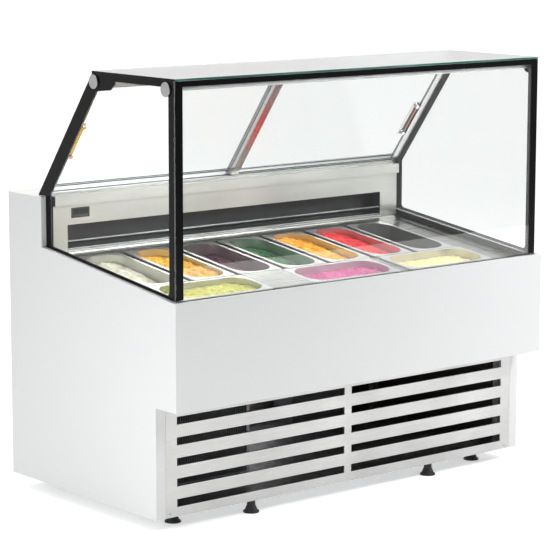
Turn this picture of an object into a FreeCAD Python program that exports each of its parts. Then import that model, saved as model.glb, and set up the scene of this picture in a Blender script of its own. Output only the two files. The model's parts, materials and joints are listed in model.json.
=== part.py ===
import FreeCAD, Part
import math
import os

os.makedirs("parts", exist_ok=True)
V = FreeCAD.Vector

# Refrigerated ice cream dipping cabinet. Millimetres and degrees.
# X runs along the cabinet, Y from the customers to the servers, Z up from the floor.
# Everything is drawn with Y = 0 on the front panel's face, and save() moves it so that
# the origin is on the floor, below the middle of the cabinet.

# Cabinet
WIDTH = 1500
DEPTH = 865
HEIGHT = 1349
SIDE_PANEL = 35          # thickness of each side panel
UNDERSIDE = 42           # floor to the bottom of the body, the feet's height at rest
KICK_SETBACK = 99        # kick grille behind the front panel's face
FRONT_BOX_BOTTOM = 381
FRONT_BOX_TOP = 705
WRAP = 50                # how far the front panel turns round each side
COUNTER_FRONT = 684      # face of the riser behind the deck
COUNTER_TOP = 947
COUNTER_SHEET = 2
COUNTER_LIP = 32         # depth of the folded edge over the fascia
COUNTER_NOSE = 12        # folded edge in front of the fascia
SHEET = 1.2              # painted and stainless sheet
REAR_RECESS = 15         # rear panel in from the back of the sides
JOINT = 0.5              # gap left between neighbouring fixed pieces

# Glass canopy
GLASS = 6
GLASS_FRONT = 17.7       # outer face of the front glass behind the front panel's face
GLASS_INSET = 18         # outer face of a side glass in from the cabinet's side
GLASS_SEAT = 15          # how deep the glass stands in its seal
CANOPY_OVERHANG = 15     # front and top glass past the outer faces' inset, each side
SLANT_TOP = 429          # Y where the slanted rear edge meets the top glass
SLANT_FOOT = 724         # Y where the slanted rear edge meets the counter
TOP_GLASS_BACK = 427
SEAL = 3
SEAL_PROUD = 1.5         # seal lips above the panels' edges
CLAMP_RADIUS = 21.5
CLAMP_THICK = 4.5
CLAMP_STEM = 5
CLAMP_HOLE = 6
CLAMP_ROUND = 1.5
WASHER_THICK = 2
CLAMP_DROP = 26          # clamp centres below the top glass
CLAMP_FRONT = 61.5
CLAMP_BACK = 417
TOP_RAIL_WIDE = 44
TOP_RAIL_TALL = 29
TOP_RAIL_WALL = 2
LAMP_WIDE = 22
LAMP_TALL = 7
LAMP_EDGE = 8            # lamp groove behind the rail's front
LAMP_BOW = 3

# Sliding rear doors, measured up the slant and inwards from it
DOOR_PANE = 5
DOOR_LAP = 17            # each door past the middle of the cabinet
DOOR_SPACING = 22        # from one door's plane to the other's
DOOR_INSET = 8           # first pane's middle in from the slanted edge
DOOR_FOOT = 28           # lower edge of the panes, up the slant
DOOR_HEADROOM = 21.5     # upper edge of the panes short of the top glass
DOOR_SIDE_GAP = 5        # between a shut door and the side glass
TRACK_BITE = 12          # how deep the panes stand in the tracks
TRACK_WIDE = 36
TRACK_GAP = 0.6
STILE_WIDE = 30
STILE_THICK = 12
STILE_GAP = 2            # between a stile's ends and the tracks
HANDLE_LONG = 140
HANDLE_WIDE = 22
HANDLE_THICK = 6
HANDLE_STANDOFF = 5
HANDLE_CENTRE = 222      # up the slant
HANDLE_EDGE = 40         # handle centre in from the door's outer edge
SCREW_PITCH = 120
SCREW_RADIUS = 7
HANDLE_ROUND = 2.5
HANDLE_BOLT = 3
HANDLE_NUT = 3
BOLT_HOLE = 3.5

# Deck and pans. The deck slopes down to the customers.
DECK_TILT = 7.25
DECK_DROP = 20           # deck below the foot of the front glass
DECK_SHEET = 1.5
DECK_REAR_GAP = 3        # deck's rear edge short of the inner rear wall
DECK_EDGE = 8            # deck's front edge behind the front glass, along the slope
PAN_LONG = 360
PAN_WIDE = 165
PAN_DEEP = 120
PAN_SHEET = 1
PAN_FLANGE = 12
PAN_RIM = 4              # height of the rolled rim
PAN_CORNER = 12          # outer corner of the rim
BOWL_FLAT = 12.5         # half the straight part of a bowl's short wall
BOWL_BOTTOM = 20         # round at the foot of the bowl
PAN_GAP = 19             # between neighbouring rims
LEDGE = 8                # deck under each rim
REST_GAP = 0.3           # between a lift-out piece and what it stands on
BACK_PANS = 7
BACK_ROW_SHIFT = -50     # middle of the back row from the middle of the cabinet
FRONT_ROW_START = 57     # front rims, along the slope
ROW_GAP = 4
FRONT_PANS = {"front_pan_left": -500, "front_pan_middle": 20, "front_pan_right": 420}
FILLER_GAP = 2
DIVIDER_WIDE = 8
DIVIDER_TALL = 14
DIVIDER_BITE = 2         # bars' ends under the deck's edges
TRIM_WIDE = 23
TRIM_TALL = 3
TRIM_EDGE = 22           # raised trim in from the deck's right edge
TRIM_START = 140
TRIM_END = 600

# Cold tank
FOAM = 47
TANK_FRONT = 51
TANK_BACK = 736
LINER = 1
FASCIA_FRONT = 667       # face of the inner rear wall
OUTLET_WIDE = 1300
OUTLET_SHIFT = -12
OUTLET_TOP = 853
OUTLET_SILL = 6          # above the deck
BLADES = 2
BLADE_PITCH = 25
BLADE_DEEP = 34
BLADE_TILT = 30
BLADE_LIP = 5
BLADE_BACK = 3           # blades behind the fascia sheet
DISPLAY_WIDE = 70
DISPLAY_TALL = 32
DISPLAY_DEEP = 25
DISPLAY_PROUD = 1.5
DISPLAY_X = -613
DISPLAY_Z = 889

# Kick grille
SLOT_TALL = 24
SLOT_PITCH = 62.5
SLOT_COUNT = 5
SLOT_FOOT = 29           # first slot above the bottom of the body
SLOT_MARGIN = 42
SLOT_MULLION = 29
SLOT_RETURN = 9
VENT_TALL = 10
VENT_PITCH = 24
VENT_COUNT = 8
VENT_WIDE = 260
VENT_FOOT = 144
SCREW_HEAD = 4
SCREW_HEAD_TALL = 1.8
SCREW_INSET = 18         # screws in from the panels' ends
SCREW_HEIGHTS = (72, 887)
GRILLE_SCREW = 52        # height of the kick grille's screws

# Base and feet
TRAY_SHEET = 2
TRAY_TALL = 20
BOSS_RADIUS = 20
FOOT_RADIUS = 25
FOOT_PAD = 5
FOOT_NECK = 13
FOOT_CONE = 24
FOOT_STEP = 4            # cone's foot in from the pad's edge
FOOT_ROUND = 1.5
THREAD_RADIUS = 6
FIT = 0.05               # radial running clearance of a shaft or thread
FEET = {
    "foot_front_left": (-625, 185),
    "foot_front_centre_left": (-370, 125),
    "foot_front_centre_right": (370, 125),
    "foot_front_right": (625, 185),
    "foot_rear_left": (-625, 765),
    "foot_rear_right": (625, 765),
}
POST = 25
POST_WALL = 2
POST_FRONT = 140
POST_BACK = 760

# Refrigeration
COIL_WIDE = 900
COIL_FRONT = 340
COIL_DEEP = 130
COIL_FAN_DEEP = 20
COIL_FOOT = (40, 20)     # inset and half width of the coil's feet
COIL_CLEAR = 12          # round the evaporator coil
FAN_RADIUS = 48
FAN_SPREAD = 220
CONDENSER_WIDE = 330
CONDENSER_TALL = 230
CONDENSER_DEEP = 60
CONDENSER_FRONT = 300
CONDENSER_X = -400
CONDENSER_FAN_DEEP = 24
CONDENSER_FOOT = (20, 15)
CONDENSER_FAN_RADIUS = 100
SHROUD_DEEP = 30
FIN_PITCH = 9
FIN_THICK = 1.2
TUBE_PITCH = 38
PLATE = 2
FAN_GAP = 3
SHAFT_RADIUS = 4
HUB_RADIUS = 15
BLADE_SHEET = 2
FAN_BLADES = 5
FAN_BLADE_ANGLE = 55
BLADE_ROOT = 4           # blades start this far inside the hub
MOTOR_ARM = 5
MOTOR_RADIUS = 22
MOTOR_LONG = 24
COMPRESSOR_RADIUS = 80
COMPRESSOR_TALL = 180
COMPRESSOR_Y = 560
COMPRESSOR_PLATE = 4
TERMINAL_SIZE = (30, 50, 60)
TERMINAL_SUNK = 12       # terminal box inside the can's wall
TERMINAL_RISE = 60
PIPE_RADIUS = 6
PIPE_BEND = 14
PIPE_SPREAD = 30         # each pipe from the can's middle
PIPE_CLEAR = 35          # discharge pipe past the condenser's end
DISCHARGE_RISE = 40
CONDENSER_INLET = 30     # below the condenser's top
SUCTION_RISE = 60
SUCTION_BACK = 90
CONTROL_X = 420
CONTROL_SIZE = (220, 110, 150)
SWITCH_Z = 265
SWITCH_WIDE = 20
SWITCH_TALL = 30
SWITCH_GAP = 1.5
SWITCH_ROOM = 22         # depth of the rocker's socket
SWITCH_PIN = 2
ROCKER_BACK = 7          # rocker's depth behind its pin
ROCKER_ROOT = 9          # half height of the rocker's back
ROCKER_EDGE = 4          # rocker's ends in front of its pin
ROCKER_TIP = 10
ROCKER_DIP = 7           # rocker's hollow middle in front of its pin
SWITCH_PIVOT = 5         # rocker's pin inside the rear panel's face
GLAND_X = -600
GLAND_Z = 130
GLAND_RADIUS = 13
GLAND_BORE = 5
GLAND_HOLE = 9
GLAND_CAP = 8
GLAND_DOME = 5
GLAND_STEM = 14

# Planes and lines that several pieces share
HALF = WIDTH / 2
INNER = HALF - SIDE_PANEL            # inner faces of the side panels
SIDE_GLASS_OUT = HALF - GLASS_INSET
SIDE_GLASS_IN = SIDE_GLASS_OUT - GLASS
CANOPY_HALF = HALF - CANOPY_OVERHANG
GLASS_BACK = GLASS_FRONT + GLASS
TOP_UNDER = HEIGHT - GLASS
REAR_FACE = DEPTH - REAR_RECESS
TRAY_TOP = UNDERSIDE + TRAY_TALL
SLOPE = math.tan(math.radians(DECK_TILT))
DECK_Z = FRONT_BOX_TOP - DECK_DROP
FRONT_ROW_END = FRONT_ROW_START + PAN_WIDE
BACK_ROW_START = FRONT_ROW_END + ROW_GAP
BACK_ROW_END = BACK_ROW_START + PAN_LONG
PAN_PITCH = PAN_WIDE + PAN_GAP
BOWL_CORNER = PAN_WIDE / 2 - PAN_FLANGE - BOWL_FLAT
BACK_ROW_HALF = (BACK_PANS * PAN_PITCH - PAN_GAP) / 2
DECK_HALF = INNER - LINER - JOINT
DECK_REAR = (FASCIA_FRONT - GLASS_FRONT) / math.cos(math.radians(DECK_TILT)) - DECK_REAR_GAP
TANK_BOTTOM = FRONT_BOX_BOTTOM + SHEET + JOINT
TANK_FLOOR = TANK_BOTTOM + FOAM
DUCT_TOP = COUNTER_TOP - COUNTER_LIP
SWITCH_PIVOT_Y = REAR_FACE - SWITCH_PIVOT
COIL_LOW = TANK_FLOOR + JOINT + LINER + COIL_CLEAR
COIL_BACK = COIL_FRONT + COIL_DEEP
COIL_ROOF = DECK_Z + (COIL_FRONT - GLASS_FRONT) * SLOPE - PAN_DEEP
COIL_HIGH = COIL_ROOF - 2 * COIL_CLEAR
COIL_FAN_Z = (COIL_LOW + COIL_HIGH) / 2
COIL_FAN_Y = COIL_BACK + FAN_GAP
CONDENSER_LOW = TRAY_TOP + COIL_CLEAR
CONDENSER_HIGH = CONDENSER_LOW + CONDENSER_TALL
CONDENSER_MIDDLE = (CONDENSER_LOW + CONDENSER_HIGH) / 2
CONDENSER_BACK = CONDENSER_FRONT + CONDENSER_DEEP
CONDENSER_FAN_Y = CONDENSER_BACK + JOINT + FAN_GAP
SLANT_LONG = math.hypot(TOP_UNDER - COUNTER_TOP, SLANT_FOOT - SLANT_TOP)
DOOR_HEAD = SLANT_LONG - DOOR_HEADROOM
SLANT = math.degrees(math.atan2(TOP_UNDER - COUNTER_TOP, SLANT_FOOT - SLANT_TOP))


def rim_line(y):
    """Height of the side panels' sloping top edge."""
    return FRONT_BOX_TOP + (y - GLASS_FRONT) * SLOPE


def deck_line(y):
    """Height of the deck's upper face."""
    return DECK_Z + (y - GLASS_FRONT) * SLOPE


def box(x0, x1, y0, y1, z0, z1):
    return Part.makeBox(x1 - x0, y1 - y0, z1 - z0, V(x0, y0, z0))


def centred_box(x, half, y0, y1, z0, z1):
    return box(x - half, x + half, y0, y1, z0, z1)


def profile_x(points, x0, x1):
    """Prism along X of an outline given as (y, z) points."""
    corners = [V(x0, y, z) for y, z in points]
    face = Part.Face(Part.makePolygon(corners + corners[:1]))
    return face.extrude(V(x1 - x0, 0, 0))


def round_block(x0, x1, y0, y1, z0, z1, radius):
    """Block with rounded upright corners."""
    block = box(x0, x1, y0, y1, z0, z1)
    upright = [e for e in block.Edges if abs(e.tangentAt(e.FirstParameter).z) > 0.99]
    return block.makeFillet(radius, upright)


def on_deck(shape):
    """Places a shape drawn flat: X across, Y down-slope to up-slope, Z off the deck."""
    shape.Placement = FreeCAD.Placement(
        V(0, GLASS_FRONT, DECK_Z), FreeCAD.Rotation(V(1, 0, 0), DECK_TILT)
    )
    return shape


def on_slant(shape):
    """Places a shape drawn flat: Y up the slanted rear edge, Z inwards from it."""
    shape.Placement = FreeCAD.Placement(
        V(0, SLANT_FOOT, COUNTER_TOP), FreeCAD.Rotation(V(1, 0, 0), 180 - SLANT)
    )
    return shape


def mirrored(shape):
    return shape.mirror(V(0, 0, 0), V(1, 0, 0))


def group(shapes):
    return Part.makeCompound(shapes)


def save(name, shape):
    shape = shape.copy()
    shape.translate(V(0, -DEPTH / 2, 0))
    shape.exportStep(f"parts/{name}.step")


# ---------------------------------------------------------------- base and feet

def base_tray():
    """Folded steel tray with its edges turned down and a threaded boss over each foot."""
    x = INNER - JOINT
    front = KICK_SETBACK + SHEET + SLOT_RETURN + JOINT
    back = REAR_FACE - SHEET - JOINT
    tray = box(-x, x, front, back, UNDERSIDE, TRAY_TOP)
    t = TRAY_SHEET
    tray = tray.cut(box(-x + t, x - t, front + t, back - t, UNDERSIDE, TRAY_TOP - t))
    for fx, fy in FEET.values():
        tray = tray.fuse(Part.makeCylinder(BOSS_RADIUS, TRAY_TALL, V(fx, fy, UNDERSIDE)))
    for fx, fy in FEET.values():
        bore = Part.makeCylinder(THREAD_RADIUS + FIT, TRAY_TALL, V(fx, fy, UNDERSIDE))
        tray = tray.cut(bore)
    return tray.removeSplitter()


def levelling_foot(x, y):
    """Moulded foot with a wide pad, a cone and a threaded stem."""
    pad = Part.makeCylinder(FOOT_RADIUS, FOOT_PAD, V(x, y, 0))
    pad = pad.makeFillet(FOOT_ROUND, [pad.Edges[0]])
    cone_foot = FOOT_RADIUS - FOOT_STEP
    cone = Part.makeCone(cone_foot, FOOT_NECK, FOOT_CONE - FOOT_PAD, V(x, y, FOOT_PAD))
    neck_tall = UNDERSIDE - REST_GAP - FOOT_CONE
    neck = Part.makeCylinder(FOOT_NECK, neck_tall, V(x, y, FOOT_CONE))
    stem = Part.makeCylinder(THREAD_RADIUS, TRAY_TOP - FOOT_CONE, V(x, y, FOOT_CONE))
    return pad.fuse([cone, neck, stem]).removeSplitter()


def tank_support_frame():
    """Two cross rails under the tank on four posts, all of square tube."""
    pieces = []
    half = POST / 2
    bore = half - POST_WALL
    rail_x = INNER - JOINT
    top = TANK_BOTTOM
    for y in (POST_FRONT, POST_BACK):
        rail = box(-rail_x, rail_x, y - half, y + half, top - POST, top)
        hollow = box(-rail_x, rail_x, y - bore, y + bore, top - half - bore, top - half + bore)
        pieces.append(rail.cut(hollow))
        for side in (-1, 1):
            x = side * (rail_x - half)
            post = box(x - half, x + half, y - half, y + half, TRAY_TOP, top - POST)
            hollow = box(x - bore, x + bore, y - bore, y + bore, TRAY_TOP, top - POST)
            pieces.append(post.cut(hollow))
    return group(pieces)


# ---------------------------------------------------------------- outer panels

def side_outline(inset):
    """Outline of a side panel as (y, z) points, drawn in from its edges by an inset."""
    i = inset
    top = COUNTER_TOP - COUNTER_SHEET
    return [
        (KICK_SETBACK + i, UNDERSIDE + i),
        (KICK_SETBACK + i, FRONT_BOX_BOTTOM + i),
        (WRAP + i, FRONT_BOX_BOTTOM + i),
        (WRAP + i, rim_line(WRAP + i) - i),
        (COUNTER_FRONT + i, rim_line(COUNTER_FRONT + i) - i),
        (COUNTER_FRONT + i, top - i),
        (DEPTH - i, top - i),
        (DEPTH - i, UNDERSIDE + i),
    ]


def side_panel():
    """Right side panel: a painted sheet with folded edges, open towards the foam."""
    skin = profile_x(side_outline(0), INNER, HALF)
    inside = profile_x(side_outline(SHEET), INNER, HALF - SHEET)
    return skin.cut([inside, glass_groove()])


def side_foam():
    """Foam that fills the right side panel, up to the tank's wall."""
    foam = profile_x(side_outline(SHEET + JOINT), INNER, HALF - SHEET - JOINT)
    return foam.cut(glass_groove())


def glass_groove():
    """Space for the side glass and its seal along the right panel's sloping edge."""
    low, high = GLASS_SEAT + JOINT, 2 * GLASS_SEAT
    points = [
        (GLASS_FRONT, rim_line(GLASS_FRONT) - low),
        (COUNTER_FRONT, rim_line(COUNTER_FRONT) - low),
        (COUNTER_FRONT, rim_line(COUNTER_FRONT) + high),
        (GLASS_FRONT, rim_line(GLASS_FRONT) + high),
    ]
    return profile_x(points, SIDE_GLASS_IN - JOINT, SIDE_GLASS_OUT + SEAL + JOINT)


def front_panel():
    """Painted front: a folded sheet with side, bottom and top returns."""
    t = SHEET
    panel = box(-HALF, HALF, 0, t, FRONT_BOX_BOTTOM, FRONT_BOX_TOP)
    panel = panel.fuse(box(-HALF, HALF, 0, WRAP, FRONT_BOX_BOTTOM, FRONT_BOX_BOTTOM + t))
    underside = box(-INNER + JOINT, INNER - JOINT, 0, KICK_SETBACK, FRONT_BOX_BOTTOM, FRONT_BOX_BOTTOM + t)
    lip = GLASS_FRONT - SEAL - JOINT
    panel = panel.fuse([underside, box(-HALF, HALF, 0, lip, FRONT_BOX_TOP - t, FRONT_BOX_TOP)])
    cap = SIDE_GLASS_OUT + SEAL + JOINT
    outline = [
        (0, FRONT_BOX_BOTTOM),
        (WRAP, FRONT_BOX_BOTTOM),
        (WRAP, rim_line(WRAP)),
        (GLASS_FRONT, FRONT_BOX_TOP),
        (0, FRONT_BOX_TOP),
    ]
    corner_top = [
        (0, FRONT_BOX_TOP - t),
        (GLASS_FRONT, FRONT_BOX_TOP - t),
        (WRAP, rim_line(WRAP) - t),
        (WRAP, rim_line(WRAP)),
        (GLASS_FRONT, FRONT_BOX_TOP),
        (0, FRONT_BOX_TOP),
    ]
    right = profile_x(outline, HALF - t, HALF).fuse(profile_x(corner_top, cap, HALF))
    return panel.fuse([right, mirrored(right)]).removeSplitter()


def slotted(panel, x0, x1, y, back, foot, count, pitch, tall):
    """Cuts a bank of level slots, each with a folded return behind its edges."""
    t = SHEET
    for i in range(count):
        z = foot + i * pitch
        collar = box(x0 - t, x1 + t, y, back, z - t, z + tall + t)
        panel = panel.fuse(collar)
    for i in range(count):
        z = foot + i * pitch
        panel = panel.cut(box(x0, x1, y, back, z, z + tall))
    return panel


def kick_grille():
    """Stainless sheet below the front panel, with two banks of air slots."""
    y = KICK_SETBACK
    x = INNER - JOINT
    grille = box(-x, x, y, y + SHEET, UNDERSIDE, FRONT_BOX_BOTTOM - JOINT)
    inner, outer = SLOT_MULLION / 2, INNER - SLOT_MARGIN
    foot = UNDERSIDE + SLOT_FOOT
    for x0, x1 in ((-outer, -inner), (inner, outer)):
        grille = slotted(grille, x0, x1, y, y + SLOT_RETURN, foot, SLOT_COUNT, SLOT_PITCH, SLOT_TALL)
    return grille


def rear_panel():
    """Stainless back with vents, a hole for the rocker and one for the gland."""
    x = INNER - JOINT
    y = REAR_FACE
    panel = box(-x, x, y - SHEET, y, UNDERSIDE + JOINT, COUNTER_TOP - COUNTER_SHEET - JOINT)
    for side in (-1, 1):
        middle = side * INNER / 4
        for i in range(VENT_COUNT):
            z = VENT_FOOT + i * VENT_PITCH
            vent = centred_box(middle, VENT_WIDE / 2, y - SHEET, y, z, z + VENT_TALL)
            panel = panel.cut(vent)
    wide, tall = SWITCH_WIDE / 2 + SWITCH_GAP, SWITCH_TALL / 2 + SWITCH_GAP
    panel = panel.cut(centred_box(CONTROL_X, wide, y - SHEET, y, SWITCH_Z - tall, SWITCH_Z + tall))
    hole = Part.makeCylinder(GLAND_HOLE, SHEET, V(GLAND_X, y - SHEET, GLAND_Z), V(0, 1, 0))
    return panel.cut(hole)


def rear_counter():
    """Stainless top behind the canopy, folded down over the fascia and at the back."""
    t = COUNTER_SHEET
    top = COUNTER_TOP
    front = FASCIA_FRONT - COUNTER_NOSE
    x = INNER - JOINT
    counter = box(-HALF, HALF, COUNTER_FRONT, DEPTH, top - t, top)
    shelf = box(-x, x, front, COUNTER_FRONT, top - t, top)
    lip = box(-x, x, front, front + t, DUCT_TOP, top)
    fold = box(-x, x, front, FASCIA_FRONT - JOINT, DUCT_TOP, DUCT_TOP + t)
    back = box(-x, x, DEPTH - t, DEPTH, top - COUNTER_LIP, top)
    return counter.fuse([shelf, lip, fold, back]).removeSplitter()


def panel_screws():
    """Pan-head screws of the kick grille and the rear panel."""
    x = INNER - SCREW_INSET
    heads = []
    for side in (-1, 1):
        low = V(side * x, KICK_SETBACK, GRILLE_SCREW)
        heads.append(Part.makeCylinder(SCREW_HEAD, SCREW_HEAD_TALL, low, V(0, -1, 0)))
        for z in SCREW_HEIGHTS:
            place = V(side * x, REAR_FACE, z)
            heads.append(Part.makeCylinder(SCREW_HEAD, SCREW_HEAD_TALL, place, V(0, 1, 0)))
    return group(heads)


# ---------------------------------------------------------------- cold tank

def tank_insulation():
    """Foam blocks: behind the front panel, in both side panels, and round the tank."""
    x = HALF - SHEET - JOINT
    low = TANK_BOTTOM
    top = SHEET + JOINT
    front = profile_x(
        [
            (top, low),
            (WRAP, low),
            (WRAP, rim_line(WRAP) - top),
            (GLASS_FRONT, FRONT_BOX_TOP - top),
            (top, FRONT_BOX_TOP - top),
        ],
        -x,
        x,
    )
    seat = FRONT_BOX_TOP - GLASS_SEAT - SEAL
    slot_front = GLASS_FRONT - SEAL - JOINT
    slot_x = SIDE_GLASS_OUT + SEAL + JOINT
    front = front.cut(box(-slot_x, slot_x, slot_front, GLASS_BACK + LEDGE, seat, HEIGHT))
    deck_under = DECK_SHEET + SEAL
    pocket = profile_x(
        [
            (GLASS_BACK, deck_line(GLASS_BACK) - deck_under),
            (TANK_FRONT, deck_line(WRAP) - deck_under),
            (TANK_FRONT, HEIGHT),
            (GLASS_BACK, HEIGHT),
        ],
        -INNER,
        INNER,
    )
    front = front.cut([pocket, glass_groove(), mirrored(glass_groove())])
    side = INNER - JOINT
    back = TANK_BACK + JOINT
    bath = profile_x(
        [
            (TANK_FRONT, low),
            (back + FOAM, low),
            (back + FOAM, DUCT_TOP),
            (back, DUCT_TOP),
            (back, TANK_FLOOR),
            (TANK_FRONT, TANK_FLOOR),
        ],
        -side,
        side,
    )
    return group([front, bath, side_foam(), mirrored(side_foam())])


def tank_liner():
    """Stainless tub inside the foam, open at the top and up into the air duct."""
    floor = TANK_FLOOR + JOINT
    front = TANK_FRONT + JOINT
    under = DECK_SHEET + JOINT
    lip = COUNTER_SHEET + JOINT
    step = FASCIA_FRONT + SHEET + lip
    outline = [
        (front, floor),
        (TANK_BACK, floor),
        (TANK_BACK, DUCT_TOP),
        (step, DUCT_TOP),
        (step, deck_line(step) - under),
        (front, deck_line(front) - under),
    ]
    half = INNER - JOINT
    tub = profile_x(outline, -half, half)
    hollow = box(
        -half + LINER, half - LINER, front + LINER, TANK_BACK - LINER, floor + LINER, HEIGHT
    )
    return tub.cut(hollow)


def bowl_block(x, s, half_x, half_s, deep, radius):
    """Round-cornered block below the rim, rounded along its foot."""
    block = round_block(x - half_x, x + half_x, s - half_s, s + half_s, -deep, PAN_RIM, radius)
    foot = [e for e in block.Edges if e.BoundBox.ZMax < -deep + 0.01]
    return block.makeFillet(BOWL_BOTTOM, foot)


def pan(x, s, half_x, half_s):
    """Stainless pan drawn flat: a bowl under a rim with its edge turned down."""
    t = PAN_SHEET
    low, high = REST_GAP, PAN_RIM
    rim = round_block(x - half_x, x + half_x, s - half_s, s + half_s, low, high, PAN_CORNER)
    under = round_block(
        x - half_x + t, x + half_x - t, s - half_s + t, s + half_s - t, low, high - t, PAN_CORNER - t
    )
    rim = rim.cut(under)
    bowl_x, bowl_s = half_x - PAN_FLANGE, half_s - PAN_FLANGE
    deep = PAN_DEEP - PAN_RIM
    outer = bowl_block(x, s, bowl_x + t, bowl_s + t, deep, BOWL_CORNER + t)
    inner = bowl_block(x, s, bowl_x, bowl_s, deep - t, BOWL_CORNER)
    return on_deck(rim.fuse(outer).cut(inner).removeSplitter())


def pan_openings():
    """Deck cut-outs as (x0, x1, s0, s1): the back row, then the front row in two parts."""
    middle = BACK_ROW_SHIFT
    back = (
        middle - BACK_ROW_HALF + LEDGE,
        middle + BACK_ROW_HALF - LEDGE,
        BACK_ROW_START + LEDGE,
        BACK_ROW_END - LEDGE,
    )
    rows = (FRONT_ROW_START + LEDGE, FRONT_ROW_END - LEDGE)
    left, centre, right = FRONT_PANS.values()
    reach = PAN_LONG / 2 - LEDGE
    return [back, (left - reach, centre + reach, *rows), (right - reach, right + reach, *rows)]


def deck_frame():
    """Stainless deck with cut-outs under the pans and a raised trim on the right."""
    deck = box(-DECK_HALF, DECK_HALF, DECK_EDGE, DECK_REAR, -DECK_SHEET, 0)
    for x0, x1, s0, s1 in pan_openings():
        deck = deck.cut(box(x0, x1, s0, s1, -DECK_SHEET, 0))
    trim_x = DECK_HALF - TRIM_EDGE
    trim = box(trim_x - TRIM_WIDE, trim_x, TRIM_START, TRIM_END, 0, TRIM_TALL)
    return on_deck(deck.fuse(trim))


def pan_dividers():
    """Slim bars between neighbouring pans of the back row, hung under the deck."""
    bars = []
    _, _, s0, s1 = pan_openings()[0]
    half = DIVIDER_WIDE / 2
    top = -DECK_SHEET
    for i in range(1, BACK_PANS):
        x = BACK_ROW_SHIFT + (i - BACK_PANS / 2) * PAN_PITCH
        bar = box(x - half, x + half, s0 - DIVIDER_BITE, s1 + DIVIDER_BITE, top - DIVIDER_TALL, top)
        bars.append(on_deck(bar))
    return group(bars)


def filler_plate():
    """Loose plate over the deck opening between two front pans."""
    left, centre, _ = FRONT_PANS.values()
    x0 = left + PAN_LONG / 2 + FILLER_GAP
    x1 = centre - PAN_LONG / 2 - FILLER_GAP
    s0, s1 = FRONT_ROW_START, FRONT_ROW_END
    t = PAN_SHEET
    plate = box(x0, x1, s0, s1, 0, PAN_RIM).cut(box(x0 + t, x1 - t, s0 + t, s1 - t, 0, PAN_RIM - t))
    return on_deck(plate)


def duct_fascia():
    """Inner rear wall with the cold air outlet and the display's window."""
    y = FASCIA_FRONT
    low = deck_line(y) + JOINT
    x = INNER - JOINT
    wall = box(-x, x, y, y + SHEET, low, DUCT_TOP - JOINT)
    half = OUTLET_WIDE / 2
    outlet = centred_box(OUTLET_SHIFT, half, y, y + SHEET, low + OUTLET_SILL, OUTLET_TOP)
    tall = DISPLAY_TALL / 2
    window = centred_box(DISPLAY_X, DISPLAY_WIDE / 2, y, y + SHEET, DISPLAY_Z - tall, DISPLAY_Z + tall)
    return wall.cut([outlet, window])


def discharge_louvres():
    """Tilted blades with a front lip, between two end plates behind the outlet."""
    y = FASCIA_FRONT + SHEET + BLADE_BACK
    half = OUTLET_WIDE / 2
    low = deck_line(FASCIA_FRONT) + JOINT
    blades = []
    for i in range(BLADES):
        blade = box(-half, half, 0, BLADE_DEEP, -SHEET, 0).fuse(box(-half, half, 0, SHEET, -BLADE_LIP, 0))
        z = low + OUTLET_SILL + BLADE_LIP + i * BLADE_PITCH
        turn = FreeCAD.Rotation(V(1, 0, 0), -BLADE_TILT)
        blade.Placement = FreeCAD.Placement(V(OUTLET_SHIFT, y, z), turn)
        blades.append(blade)
    for side in (-1, 1):
        x = OUTLET_SHIFT + side * (half + SHEET / 2)
        blades.append(centred_box(x, SHEET / 2, y, y + BLADE_DEEP, low, OUTLET_TOP))
    return group(blades)


def temperature_display():
    """Thermostat and display in the fascia's window."""
    y = FASCIA_FRONT - DISPLAY_PROUD
    x0, z0 = DISPLAY_X - DISPLAY_WIDE / 2 + JOINT, DISPLAY_Z - DISPLAY_TALL / 2 + JOINT
    x1, z1 = DISPLAY_X + DISPLAY_WIDE / 2 - JOINT, DISPLAY_Z + DISPLAY_TALL / 2 - JOINT
    case = box(x0, x1, y, y + DISPLAY_DEEP, z0, z1)
    front = [e for e in case.Edges if e.BoundBox.YMax < y + 0.01]
    return case.makeChamfer(1, front)


# ---------------------------------------------------------------- glass canopy

def side_glass():
    """Right side pane, with two holes for its clamps."""
    y0 = GLASS_BACK + JOINT
    y1 = COUNTER_FRONT - JOINT
    seat = GLASS_SEAT - JOINT
    top = TOP_UNDER - JOINT
    pane = profile_x(
        [
            (y0, rim_line(y0) - seat),
            (y0, top),
            (SLANT_TOP, top),
            (SLANT_FOOT, COUNTER_TOP + JOINT),
            (y1, COUNTER_TOP + JOINT),
            (y1, rim_line(y1) - seat),
        ],
        SIDE_GLASS_IN,
        SIDE_GLASS_OUT,
    )
    for y in (CLAMP_FRONT, CLAMP_BACK):
        place = V(SIDE_GLASS_IN, y, TOP_UNDER - CLAMP_DROP)
        pane = pane.cut(Part.makeCylinder(CLAMP_HOLE, GLASS, place, V(1, 0, 0)))
    return pane


def front_glass():
    low = FRONT_BOX_TOP - GLASS_SEAT
    return box(-CANOPY_HALF, CANOPY_HALF, GLASS_FRONT, GLASS_BACK, low, TOP_UNDER - JOINT)


def top_glass():
    return box(-CANOPY_HALF, CANOPY_HALF, GLASS_FRONT, TOP_GLASS_BACK, TOP_UNDER, HEIGHT)


def glass_clamps():
    """Round polished caps outside the side glass, on a dark washer, with a stem through it."""
    clamps = []
    rail_end = SIDE_GLASS_IN - JOINT
    cap_foot = SIDE_GLASS_OUT + WASHER_THICK
    for y in (CLAMP_FRONT, CLAMP_BACK):
        z = TOP_UNDER - CLAMP_DROP
        stem = Part.makeCylinder(CLAMP_STEM, cap_foot - rail_end, V(rail_end, y, z), V(1, 0, 0))
        head = Part.makeCylinder(CLAMP_RADIUS, CLAMP_THICK, V(cap_foot, y, z), V(1, 0, 0))
        rim = [e for e in head.Edges if e.BoundBox.XMin > cap_foot + CLAMP_ROUND and e.Closed]
        clamp = head.makeFillet(CLAMP_ROUND, rim[:1]).fuse(stem)
        clamps += [clamp, mirrored(clamp)]
    return group(clamps)


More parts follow.
